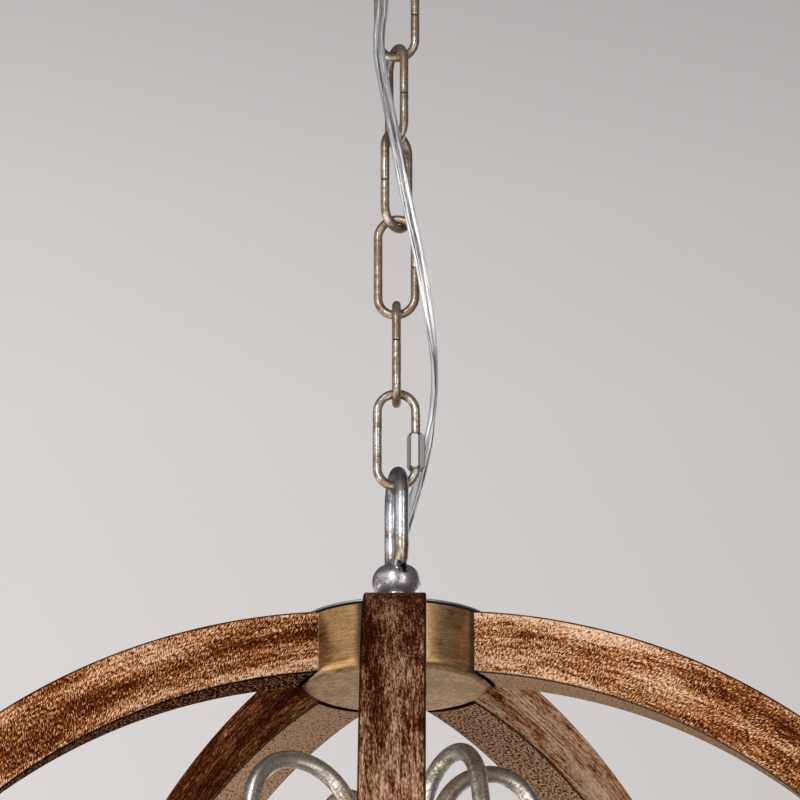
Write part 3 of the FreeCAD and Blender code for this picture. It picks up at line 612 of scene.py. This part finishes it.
def tinned_strands():
    """Tinned strands: bright and dark lines along the bundle's own UV map.

    They are painted darker high up, and between two heights where the cord is turned edge on: painted shade.
    """
    paint = new_paint("tinned_strands")
    lines = paint.strokes(paint.own_map(), 34 * MM, 0.75 * MM)
    height = paint.part(paint.object_place(), "Z")
    colour = paint.ramp(lines, [(0.38, (0.05, 0.05, 0.055)), (0.47, (0.8, 0.8, 0.82)), (0.54, (1, 1, 1))])
    # Painted shade: darker high up and where the cord is turned edge on
    turned = paint.ease(height, -262 * MM, -280 * MM) * paint.ease(height, -318 * MM, -302 * MM)
    dull = paint.ease(height, -208 * MM, -182 * MM) * 0.66 + turned * 0.45
    return paint.finished({
        "Base Color": paint.mix(dull, colour, (0.13, 0.13, 0.145)),
        "Metallic": 0.3,
        "Roughness": 0.22 + lines * 0.2,
        "Normal": paint.bump(lines, 0.08 * MM, 0.7),
    })


def add_object(name, data):
    """A new object for this data, in the scene."""
    made = bpy.data.objects.new(name, data)
    bpy.context.scene.collection.objects.link(made)
    return made


def turns(count):
    """Angles that share out a full turn, without the last one."""
    return np.arange(count) * (2 * np.pi / count)


def circle(count):
    """Points of a unit circle, as (cosine, sine) of the angles that share out a turn."""
    angle = turns(count)
    return np.stack([np.cos(angle), np.sin(angle)], 1)


def grid_piece(name, points, rows_at, columns_at, material, values=None, wrap_rows=False):
    """A closed piece from a grid of points, with rows along it and columns that wrap round it.

    Quad (i, j) joins rows i and i + 1 and columns j and j + 1. Unless the rows wrap too, one
    face closes each end. rows_at and columns_at hold the UV value of each line, with one value
    more than there are lines where they wrap. values maps the name of a point attribute to
    numbers that spread over the grid. The signed volume tells whether the faces have to be
    turned outwards.
    """
    rows, columns = points.shape[:2]
    i, j = np.meshgrid(np.arange(rows if wrap_rows else rows - 1), np.arange(columns), indexing="ij")
    near = i * columns
    far = (i + 1) % rows * columns
    j_next = (j + 1) % columns
    quads = np.stack([near + j, far + j, far + j_next, near + j_next], -1).reshape(-1, 4)
    u = np.stack([rows_at[i], rows_at[i + 1], rows_at[i + 1], rows_at[i]], -1).reshape(-1, 4)
    v = np.stack([columns_at[j], columns_at[j], columns_at[j + 1], columns_at[j + 1]], -1).reshape(-1, 4)
    flat = points.reshape(-1, 3)
    corner = flat[quads]
    twice = np.cross(corner[:, 2] - corner[:, 0], corner[:, 3] - corner[:, 1])
    ends = [np.arange(columns)[::-1], (rows - 1) * columns + np.arange(columns)]
    if np.sum(corner.mean(1) * twice) < 0:
        quads = quads[:, ::-1]
        u = u[:, ::-1]
        v = v[:, ::-1]
        ends = [end[::-1] for end in ends]
    faces = quads.tolist()
    uv = np.stack([u, v], -1).reshape(-1, 2)
    if not wrap_rows:
        faces += [end.tolist() for end in ends]
        uv = np.concatenate([uv, np.zeros((2 * columns, 2))])
    mesh = bpy.data.meshes.new(name)
    mesh.from_pydata(flat, [], faces)
    mesh.uv_layers.new(name="grain").data.foreach_set("uv", uv.astype(np.float32).ravel())
    for key, numbers in (values or {}).items():
        spread = np.broadcast_to(numbers, (rows, columns)).astype(np.float32)
        mesh.attributes.new(key, "FLOAT", "POINT").data.foreach_set("value", spread.ravel())
    mesh.shade_smooth()
    mesh.set_sharp_from_angle(angle=math.radians(50))
    mesh.materials.append(material)
    return add_object(name, mesh)


def swept(name, material, path, across, section, along, girth=1.0, start=0.0, values=None, closed=False):
    """A piece from a flat section carried along a path: path + section_0 · side + section_1 · up.

    side is the part of the across vector that is square to the path, and up is square to both.
    The section is (columns, 2), or (rows, columns, 2) where it changes along the path. The UV
    values are along for the rows, and run from start through the girth round the section.
    """
    heading = np.roll(path, -1, 0) - np.roll(path, 1, 0) if closed else np.gradient(path, axis=0)
    heading /= np.linalg.norm(heading, axis=1, keepdims=True)
    side = across - heading * np.sum(across * heading, 1, keepdims=True)
    side /= np.linalg.norm(side, axis=1, keepdims=True)
    up = np.cross(heading, side)
    section = np.broadcast_to(section, (len(path), *section.shape[-2:]))
    grid = path[:, None] + section[..., :1] * side[:, None] + section[..., 1:] * up[:, None]
    around = start + np.linspace(0, girth, section.shape[1] + 1)
    return grid_piece(name, grid, along, around, material, values, closed)


def run_length(path):
    """Distance along a path at each of its points."""
    return np.concatenate([[0.0], np.cumsum(np.linalg.norm(np.diff(path, axis=0), axis=1))])


def joined(name, pieces):
    """One piece from several that have the same layers and material."""
    work = bmesh.new()
    for piece in pieces:
        work.from_mesh(piece.data)
    mesh = pieces[0].data.copy()
    work.to_mesh(mesh)
    work.free()
    for piece in pieces:
        bpy.data.meshes.remove(piece.data)
    mesh.name = name
    return add_object(name, mesh)


def dress(material, *names):
    """Gives CAD nodes one finish."""
    for name in names:
        slots = NODES[name].data.materials
        slots.clear()
        slots.append(material)


def each_lamp(*names):
    """Names of nodes that each lamp has one of."""
    return [f"{name}_{k + 1}" for name in names for k in range(LAMP_COUNT)]


def section_outline(depth, width, edge):
    """A rib's section as (radial, across) points about its middle, with the eased edges as arcs.

    Each corner is a quarter arc, and each side has a few more points between. Also gives each
    point's distance from the nearest corner along the outline.
    """
    arc_points = 5
    side_points = 4
    arc = np.linspace(0, np.pi / 2, arc_points)
    corners = []
    for k, (a, b) in enumerate(((1, -1), (1, 1), (-1, 1), (-1, -1))):
        centre = np.array([a * (depth / 2 - edge), b * (width / 2 - edge)])
        angle = arc + (k - 1) * np.pi / 2
        corners.append(centre + edge * np.stack([np.cos(angle), np.sin(angle)], 1))
    share = np.linspace(0, 1, side_points + 2)[1:-1, None]
    outline = []
    for corner, following in zip(corners, corners[1:] + corners[:1]):
        outline += [corner, between(corner[-1], following[0], share)]
    outline = np.concatenate(outline)
    to_side = np.stack([depth / 2 - np.abs(outline[:, 0]), width / 2 - np.abs(outline[:, 1])], 1)
    return outline, to_side.max(1)


class PENDANT_OT_ribs(bpy.types.Operator):
    """Replace the five ribs by surfaces whose grain follows the bend"""

    bl_idname = "pendant.ribs"
    bl_label = "Ribs"

    def execute(self, context):
        """Each section point goes round an arc about the globe's middle, from the one drum to the other."""
        settings = context.scene.pendant_ribs
        wood = stained_wood(settings)
        low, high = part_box("rib_1")
        globe = -low.y
        middle = (low.z + high.z) / 2
        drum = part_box("top_hub_cup")[1].x
        outline, edge = section_outline(settings.depth, high.x - low.x, settings.edge)
        reach = globe - settings.depth / 2 + outline[:, 0]
        start = np.arcsin(np.sqrt(drum ** 2 - outline[:, 1] ** 2) / reach)
        share = np.linspace(0, 1, RIB_ROWS)[:, None]
        bend = start + (np.pi - 2 * start) * share
        around = run_length(np.concatenate([outline, outline[:1]]))
        from_hub = np.minimum(share, 1 - share)
        for k in range(RIB_COUNT):
            azimuth = 2 * np.pi * k / RIB_COUNT
            out = np.array([np.sin(azimuth), -np.cos(azimuth), 0])
            beside = np.array([np.cos(azimuth), np.sin(azimuth), 0])
            points = (reach * np.sin(bend))[..., None] * out + outline[:, 1, None] * beside
            points[..., 2] += middle + reach * np.cos(bend)
            along = share[:, 0] * np.pi * globe + GRAIN_STARTS[k]
            # This rib's tones: partly stain, partly painted light and shade
            *tones, inner_tone = RIB_TONES[k]
            values = {
                "depth": outline[:, 0] / (settings.depth / 2),
                "edge": edge,
                "end": from_hub * np.pi * globe,
                "tone": np.interp(from_hub, SIDE_SPAN if k else FRONT_SPAN, tones),
                "inner_tone": inner_tone,
                "run": GRAIN_RUNS[k],
            }
            piece = grid_piece(f"bent_rib_{k + 1}", points, along, around + GRAIN_STEP * k, wood, values)
            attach(piece, "fixture")
            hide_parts(f"rib_{k + 1}")
        return {"FINISHED"}


def cord_line():
    """Points on the route's smooth line, read from a NURBS spline."""
    curve = bpy.data.curves.new("cord_route", "CURVE")
    curve.dimensions = "3D"
    spline = curve.splines.new("NURBS")
    spline.points.add(len(CORD_ROUTE) - 1)
    for point, place in zip(spline.points, CORD_ROUTE):
        point.co = (*(c * MM for c in place), 1.0)
    spline.order_u = 3
    spline.use_endpoint_u = True
    spline.resolution_u = 14
    holder = add_object("cord_route", curve)
    line = bpy.data.meshes.new_from_object(holder)
    points = np.array([v.co for v in line.vertices])
    bpy.data.objects.remove(holder)
    bpy.data.meshes.remove(line)
    return points


def cord_bends():
    """Heights at which the cord passes from one hanging body to the next: between two joints."""
    heights = [j["pos_m"][2] for j in frame["joints"] if j["child"] in CORD_BODIES[1:]]
    return [(a + b) / 2 for a, b in zip(heights, heights[1:])]


def cover_stretch(settings, k, path, wide, along, material):
    """Two joined lobes: half height = T sqrt(a lobe + (1 - a) (1 - x²)), with x in half widths.

    lobe = 1 - (2 |x| - 1)², which is 1 at the middle of each half and 0 at its sides.
    """
    lobed = 0.45
    half = settings.width / 2
    x, rise = circle(CORD_COLUMNS).T
    lobe = 1 - (2 * np.abs(x) - 1) ** 2
    height = np.sqrt(lobed * lobe + (1 - lobed) * (1 - x ** 2))
    section = np.stack([half * x, np.sign(rise) * settings.thickness / 2 * height], 1)
    return swept(f"cord_cover_{k + 1}", material, path, wide, section, along, math.tau * half)


def strand_stretch(settings, k, path, wide, along, material):
    """Two bundles with twisted ridges: radius = R (1 + h cos(n angle + 2 pi length / pitch))."""
    ridges = 9
    ridge_height = 0.07
    pitch = 14 * MM
    wave = np.cos(ridges * turns(CORD_COLUMNS) + along[:, None] * (2 * np.pi / pitch))
    bundle = (settings.bundle * (1 + ridge_height * wave))[..., None] * circle(CORD_COLUMNS)
    girth = math.tau * settings.bundle
    name = f"cord_strands_{k + 1}"
    bundles = []
    for side in (-1, 1):
        section = bundle + [side * settings.width / 4, 0]
        bundles.append(swept(f"{name}_{side}", material, path, wide, section, along, girth, side))
    return joined(name, bundles)


class PENDANT_OT_cord(bpy.types.Operator):
    """Lay the clear flat cord along its route, in stretches split where the chain's joints are"""

    bl_idname = "pendant.cord"
    bl_label = "Supply cord"

    def execute(self, context):
        settings = context.scene.pendant_cord
        points = cord_line()
        heights, degrees = np.array(CORD_TURNS).T
        turn = np.radians(np.interp(points[:, 2], heights * MM, degrees))
        across = np.stack([np.cos(turn), np.sin(turn), 0 * turn], 1)
        reach = run_length(points)
        cover = clear("clear_cord", (0.97, 0.98, 0.98), 0.05, cover=0.3)
        strands = tinned_strands()
        levels = [points[0, 2], *cord_bends(), points[-1, 2]]
        marks = [int(np.argmin(np.abs(points[:, 2] - level))) for level in levels]
        for k, (first, last) in enumerate(zip(marks, marks[1:])):
            path, wide, along = (whole[first:last + 1] for whole in (points, across, reach))
            pieces = [
                cover_stretch(settings, k, path, wide, along, cover),
                strand_stretch(settings, k, path, wide, along, strands),
            ]
            for piece in pieces:
                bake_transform(piece)
                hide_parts("supply_cord")
        return {"FINISHED"}


def nut_piece(material):
    """The sleeve nut: a hexagon with eased corners, coned ends and a plain bore.

    Radius = half the flats over the smooth maximum of the cosines to the six flats, and at most the
    cone's radius near each end. The rows run up the outside, down the bore and round again. The
    attribute seam darkens the corners, and is a painted shadow on the coned ends and in the bore.
    """
    columns = 120
    end_rows = 6
    side_rows = 12
    sharpness = 44
    cone_height = 1.5 * MM
    cone_depth = 1.0 * MM
    low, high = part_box("quick_link_nut")
    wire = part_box("quick_link")[1].y * 2
    middle = np.array([(low.x + high.x) / 2, (low.y + high.y) / 2])
    flats = math.radians(-99) + turns(6)
    facing = np.clip(np.cos(turns(columns)[:, None] - flats), 0, None)
    hexagon = (high.y - low.y) / 2 / np.sum(facing ** sharpness, 1) ** (1 / sharpness)
    corner = (hexagon - hexagon.min()) / (hexagon.max() - hexagon.min())
    length = high.z - low.z
    end = np.linspace(0, cone_height, end_rows)
    side = np.linspace(2 * MM, length - 2 * MM, side_rows)
    rise = np.concatenate([end, side, length - end[::-1]])
    to_end = np.clip(np.minimum(rise, length - rise), 0, cone_height)
    cone = hexagon.max() - cone_depth + to_end * (cone_depth / cone_height)
    outside = np.minimum(hexagon, cone[:, None])
    bore = np.full((end_rows, columns), wire / 2 + 0.2 * MM)
    radius = np.concatenate([outside, bore])
    height = np.concatenate([rise, np.linspace(length, 0, end_rows)])
    across = radius[..., None] * circle(columns) + middle
    grid = np.dstack([across, np.broadcast_to(low.z + height[:, None], radius.shape)])
    # seam: darker along the corners; painted shadow on the coned ends, and in the bore below
    worn = np.clip((corner - 0.55) / 0.3, 0, 1) * 0.85 + 0.5 * (outside < hexagon - 0.02 * MM)
    seam = np.clip(np.concatenate([worn, np.ones_like(bore)]), 0, 1)
    rows_at = np.arange(len(height) + 1.0)
    around = np.linspace(0, 1, columns + 1)
    piece = grid_piece("sleeve_nut", grid, rows_at, around, material, {"seam": seam}, wrap_rows=True)
    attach(piece, "screw_link_nut")
    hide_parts("quick_link_nut")


def thread_piece(material):
    """The screw link's thread under its nut: a round section on the wire's bend, with a helical ridge.

    The bend is the start of the link's lower ring. Radius = wire / 2 + core + rise · cos² of half the
    angle 2 pi s / pitch - turn, where s is the distance along the bend.
    """
    columns = 32
    pitch = 0.8 * MM
    core = 0.02 * MM
    rise = 0.18 * MM
    low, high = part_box("quick_link")
    wire = high.y - low.y
    ring = (high.x - low.x - wire) / 2
    bend = np.linspace(-0.03, 0.36, 90)
    path = np.stack([ring * np.cos(bend), 0 * bend, low.z + wire / 2 + ring - ring * np.sin(bend)], 1)
    along = run_length(path)
    ridge = np.cos((along[:, None] * (2 * np.pi / pitch) - turns(columns)) / 2) ** 2
    section = (wire / 2 + core + rise * ridge)[..., None] * circle(columns)
    piece = swept("screw_link_thread", material, path, (0, 1, 0), section, along)
    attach(piece, "screw_link")


def link_piece(k, material):
    """A bent wire with a butt seam: a round section carried round an oval of two legs and two half rings.

    The wire thins by a bell of the distance from the seam, and the attribute seam is that bell.
    """
    rows = 480
    columns = 28
    seam_width = 0.34 * MM
    seam_depth = 0.26 * MM
    settings = bpy.context.scene.pendant_chain
    low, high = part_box(f"chain_link_{k + 1}")
    turn = math.radians(settings.turns[k])
    ring = (settings.width - settings.wire) / 2
    leg = (high.z - low.z - settings.width) / 2
    length = 4 * leg + 2 * np.pi * ring
    along = np.arange(rows + 1) * (length / rows)
    t = along[:-1]
    top = (t - 2 * leg) / ring
    foot = (t - 4 * leg) / ring - np.pi
    part = [t < 2 * leg, top < np.pi, foot < 0]
    x = np.select(part, [ring + 0 * t, ring * np.cos(top), -ring + 0 * t], -ring * np.cos(foot))
    z = np.select(part, [t - leg, leg + ring * np.sin(top), -leg - ring * foot], -leg - ring * np.sin(foot))
    path = np.stack([x * math.cos(turn), x * math.sin(turn), z + (low.z + high.z) / 2], 1)
    away = np.where(np.sign(x) == LINK_SEAM_SIDES[k], z - LINK_SEAM_RISES[k] * MM, 1.0)
    seam = np.exp(-((away / seam_width) ** 2))[:, None]
    section = (settings.wire / 2 - seam_depth * seam)[..., None] * circle(columns)
    across = (-math.sin(turn), math.cos(turn), 0)
    girth = np.pi * settings.wire
    values = {"seam": seam}
    name = f"bent_link_{k + 1}"
    piece = swept(name, material, path, across, section, along, girth, values=values, closed=True)
    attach(piece, f"link_{k + 1}")
    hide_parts(f"chain_link_{k + 1}")


class PENDANT_OT_hanging(bpy.types.Operator):
    """Finish the ceiling fitting, the chain and the loops"""

    bl_idname = "pendant.hanging"
    bl_label = "Ceiling fitting and chain"

    def execute(self, context):
        settings = context.scene.pendant_metal
        rub = settings.rub
        chain = rubbed_silver("chain_silver", settings.silver, rub, cover=0.62)
        loop = rubbed_silver("loop_silver", settings.loop, rub, cover=0.42, gloss=0.3)
        screw = rubbed_silver("screw_link_silver", settings.arm, rub, cover=0.5, gloss=0.24)
        nut = rubbed_silver("nut_silver", settings.nut, rub, cover=0.2, gloss=0.5, metal=0.2)
        worn = rubbed_silver(
            "hanging_loop_silver", settings.loop, rub, cover=0.34, gloss=0.3, pits=0.8, wear_and_shade=loop_wear_and_shade
        )
        pale_rub = shade(rub, 1.6)
        plate = rubbed_silver("canopy_silver", settings.arm, pale_rub, cover=0.34, gloss=0.42, pits=0.4)
        steel = speckled("plain_steel", (0.5, 0.5, 0.51), (0.36, 0.36, 0.37), 0.9, 0.36)
        for k in range(LINK_COUNT):
            link_piece(k, chain)
        nut_piece(nut)
        thread_piece(steel)
        dress(screw, "quick_link")
        dress(loop, "canopy_loop")
        dress(worn, "hanging_loop")
        dress(plate, "canopy", "canopy_collar")
        dress(steel, "ceiling_strap", "strap_lock_nut", "canopy_nipple")
        return {"FINISHED"}


class PENDANT_OT_hubs(bpy.types.Operator):
    """Finish the hub drums, their lids and what fastens them"""

    bl_idname = "pendant.hubs"
    bl_label = "Hubs"

    def execute(self, context):
        gold = brushed_gold(context.scene.pendant_metal)
        steel = bpy.data.materials["plain_steel"]
        for name, side in (("top_hub_lid", 0), ("bottom_hub_lid", 1)):
            dress(shadow_lid(name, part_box(name)[side].z), name)
        dress(gold, "top_hub_cup", "bottom_hub_cup")
        dress(steel, "top_rib_screws", "bottom_rib_screws", "hub_nipple", "hub_lock_nuts")
        dress(steel, "finial_washer", "finial_nut")
        return {"FINISHED"}


class PENDANT_OT_cluster(bpy.types.Operator):
    """Finish the column, the arms and the candles"""

    bl_idname = "pendant.cluster"
    bl_label = "Cluster"

    def execute(self, context):
        settings = context.scene.pendant_metal
        silver = rubbed_silver("arm_silver", settings.arm, settings.rub, cover=0.46, gloss=0.32, pits=0.8)
        soft = {"Subsurface Weight": 0.1}
        ivory = speckled("sleeve_ivory", (0.80, 0.72, 0.56), (0.70, 0.60, 0.43), 0.0, 0.5, 300, soft)
        black = speckled("holder_black", (0.016, 0.015, 0.014), (0.03, 0.028, 0.026), 0.0, 0.42)
        wire = speckled("wire_cover", (0.82, 0.82, 0.79), (0.74, 0.73, 0.70), 0.0, 0.4)
        dress(silver, "centre_column", "cluster_body", "cluster_drop", "bottom_finial", "cup_nuts")
        dress(silver, *each_lamp("arm", "drip_cup"))
        dress(ivory, *each_lamp("candle_sleeve"))
        dress(black, *each_lamp("lamp_holder"))
        dress(wire, "arm_wires")
        return {"FINISHED"}


def mount_piece(k, foot, material):
    """A glass stem: radius falls from 2.6 to 1.5 mm with height and closes in a round top."""
    columns = 24
    tip = 0.01 * MM
    share = np.linspace(0, 1, 25)
    radius = (2.6 - 1.1 * share) * np.sqrt(1 - share ** 8) * MM + tip
    path = foot + np.stack([0 * share, 0 * share, 1 * MM + share * 21 * MM], 1)
    section = radius[:, None, None] * circle(columns)
    return swept(f"lamp_mount_{k + 1}", material, path, (1, 0, 0), section, run_length(path))


def filament_piece(k, foot, material):
    """A coiled wire on a hairpin, in millimetres: x = 4 cos(pi t), z = 20 + 26 sqrt(sin(pi t)).

    The coil's radius is 0.55 sqrt(sin(pi t)).
    """
    columns = 8
    coils = 48
    wire = 0.13 * MM
    t = np.linspace(0.02, 0.98, 900)
    arch = np.sqrt(np.sin(np.pi * t))
    lead = np.stack([4 * np.cos(np.pi * t), 0 * t, 20 + 26 * arch], 1)
    coil = 2 * np.pi * coils * t
    offset = 0.55 * arch[:, None] * np.stack([0 * t, np.cos(coil), np.sin(coil)], 1)
    path = foot + (lead + offset) * MM
    section = wire * circle(columns)
    return swept(f"lamp_filament_{k + 1}", material, path, (0, 1, 0), section, run_length(path))


class PENDANT_OT_lamps(bpy.types.Operator):
    """Finish the lamps and give each its mount and coiled filament"""

    bl_idname = "pendant.lamps"
    bl_label = "Lamps"

    def execute(self, context):
        glass = clear("lamp_glass", (0.98, 0.99, 0.98), 0.02)
        brass = ridged_brass()
        tungsten = speckled("filament_metal", (0.2, 0.19, 0.18), (0.12, 0.115, 0.11), 1.0, 0.4)
        dress(glass, *each_lamp("bulb_glass"))
        dress(brass, *each_lamp("bulb_cap"))
        for k in range(LAMP_COUNT):
            low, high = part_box(f"bulb_glass_{k + 1}")
            foot = np.array([(low.x + high.x) / 2, (low.y + high.y) / 2, low.z])
            for piece in (mount_piece(k, foot, glass), filament_piece(k, foot, tungsten)):
                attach(piece, f"lamp_{k + 1}")
        return {"FINISHED"}


def add_floor(settings):
    """A large flat floor under the light, seen only from above, that fades into the backdrop far out.

    It is pale to the camera and through glass.
    """
    half = 12.0
    fade_from = 1.5
    level = CAD_BOX[0][2] - settings.floor_drop
    corners = [(-half, -half, level), (half, -half, level), (half, half, level), (-half, half, level)]
    mesh = bpy.data.meshes.new("floor")
    mesh.from_pydata(corners, [], [(0, 1, 2, 3)])
    paint = new_paint("floor")
    place = paint.object_place()
    tone = paint.mix(paint.noise(place, 3, detail=2), settings.floor, shade(settings.floor, 0.96))
    plain = {"Base Color": tone, "Roughness": 0.8}
    dim = paint.principled(plain)
    pale = paint.principled({**plain, "Emission Color": tone, "Emission Strength": 0.8})
    seen = paint.rays("Camera") + paint.rays("Transmission")
    top = paint.node("ShaderNodeMixShader", None, {0: seen, 1: dim, 2: pale})
    under = paint.node("ShaderNodeNewGeometry", out="Backfacing")
    faded = paint.ease(under + paint.ease(paint.from_axis(place), fade_from, half), 0.0, 1.0)
    nothing = paint.node("ShaderNodeBsdfTransparent")
    both = paint.node("ShaderNodeMixShader", None, {0: faded, 1: top, 2: nothing})
    mesh.materials.append(paint.surface(both))
    floor = add_object("floor", mesh)
    floor.visible_glossy = False


def add_backdrop(scene, settings):
    """A pale wall that darkens upwards and to the right, before a room with a dim ceiling.

    Camera and glass see the wall all round, gloss sees it behind the light and the room elsewhere,
    and soft shading takes its light from the room alone.
    """
    scene.world = bpy.data.worlds.new("studio")
    paint = Paint(scene.world)
    way = paint.node("ShaderNodeTexCoord", out="Generated")
    right, back, height = (paint.part(way, axis) for axis in "XYZ")
    rise = {"Value": height, "From Min": 0.245, "From Max": 0.395}
    lean = {"Value": right, "From Min": -0.08, "From Max": 0.08, "To Min": 1.12, "To Max": 0.93}
    rise, lean = (paint.node("ShaderNodeMapRange", None, inputs) for inputs in (rise, lean))
    stops = [(0.0, (1.02,) * 3), (0.5, (0.97,) * 3), (0.75, (0.89,) * 3), (1.0, (0.73,) * 3)]
    wall = paint.mix(1.0, paint.ramp(rise, stops), settings.wall, "MULTIPLY")
    ambient = paint.mix(paint.ease(height, -0.25, 0.65), (0.46, 0.45, 0.44), (0.2, 0.197, 0.193))
    towards = paint.measure("DOT_PRODUCT", way, WINDOW_SIDE)
    window = paint.ease(towards, 0.3, 0.9) * paint.ease(height, 0.72, 0.38)
    window = window * paint.ease(height, -0.06, 0.16)
    bench = paint.ease(towards, 0.0, 0.5) * paint.ease(height, -0.16, -0.34)
    gloss_room = paint.mix(window, (0.055, 0.055, 0.06), (0.95, 0.96, 0.99))
    gloss_room = paint.mix(bench, gloss_room, (2.4, 2.36, 2.3))
    glossy = paint.rays("Glossy")
    behind = paint.ease(back, 0.1, 0.8) * paint.ease(height, 0.24, -0.05)
    shown = paint.ease(paint.rays("Camera") + paint.rays("Transmission") + glossy * behind, 0.0, 1.0)
    room = paint.mix(glossy, ambient, gloss_room)
    light = {"Color": paint.mix(shown, room, wall), "Strength": shown * (lean - 1) + 1}
    background = paint.node("ShaderNodeBackground", None, light)
    paint.node("ShaderNodeOutputWorld", None, {"Surface": background})


def add_softbox(name, place, size, power):
    """A soft lamp, so wide and so tall, that faces the middle of the light's height.

    It is seen only in gloss.
    """
    lamp = bpy.data.lights.new(name, "AREA")
    lamp.shape = "RECTANGLE"
    lamp.size, lamp.size_y = size
    lamp.energy = power
    holder = add_object(name, lamp)
    holder.location = place
    aim = holder.location.copy()
    aim.negate()
    aim.z += (CAD_BOX[0][2] + CAD_BOX[1][2]) / 2
    holder.rotation_euler = aim.to_track_quat("-Z", "Y").to_euler()
    holder.visible_camera = False
    holder.visible_transmission = False


class PENDANT_OT_stage(bpy.types.Operator):
    """Set the floor, backdrop, lights and camera"""

    bl_idname = "pendant.stage"
    bl_label = "Stage"

    def execute(self, context):
        settings = context.scene.pendant_stage
        context.scene.view_settings.view_transform = "Standard"
        add_floor(settings)
        add_backdrop(context.scene, settings)
        for softbox in SOFTBOXES:
            add_softbox(*softbox)
        camera = add_object("camera", bpy.data.cameras.new("camera"))
        camera.data.lens = settings.lens
        camera.data.sensor_width = SENSOR_WIDTH
        camera.location = settings.eye
        camera.rotation_euler = (math.pi / 2 + settings.pitch, 0, settings.pan)
        context.scene.camera = camera
        return {"FINISHED"}


class PENDANT_PT_panel(bpy.types.Panel):
    """The light's settings and steps in the sidebar"""

    bl_label = "Caged pendant light"
    bl_space_type = "VIEW_3D"
    bl_region_type = "UI"
    bl_category = "Pendant"

    def draw(self, context):
        for name in SETTINGS:
            group = getattr(context.scene, name)
            box = self.layout.box()
            for key in group.__annotations__:
                box.prop(group, key)
        for operator in OPERATORS:
            self.layout.operator(operator.bl_idname)


SETTINGS = {
    "pendant_ribs": RibSettings,
    "pendant_metal": MetalSettings,
    "pendant_chain": ChainSettings,
    "pendant_cord": CordSettings,
    "pendant_stage": StageSettings,
}
OPERATORS = (
    PENDANT_OT_cord,
    PENDANT_OT_hanging,
    PENDANT_OT_hubs,
    PENDANT_OT_ribs,
    PENDANT_OT_cluster,
    PENDANT_OT_lamps,
    PENDANT_OT_stage,
)
CLASSES = (*SETTINGS.values(), *OPERATORS, PENDANT_PT_panel)


def register():
    for kind in CLASSES:
        bpy.utils.register_class(kind)
    for name, group in SETTINGS.items():
        setattr(bpy.types.Scene, name, PointerProperty(type=group))


def unregister():
    for name in SETTINGS:
        delattr(bpy.types.Scene, name)
    for kind in reversed(CLASSES):
        bpy.utils.unregister_class(kind)


def main():
    """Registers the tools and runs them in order."""
    register()
    for operator in OPERATORS:
        group, name = operator.bl_idname.split(".")
        getattr(getattr(bpy.ops, group), name)()


if __name__ == "__main__":
    main()
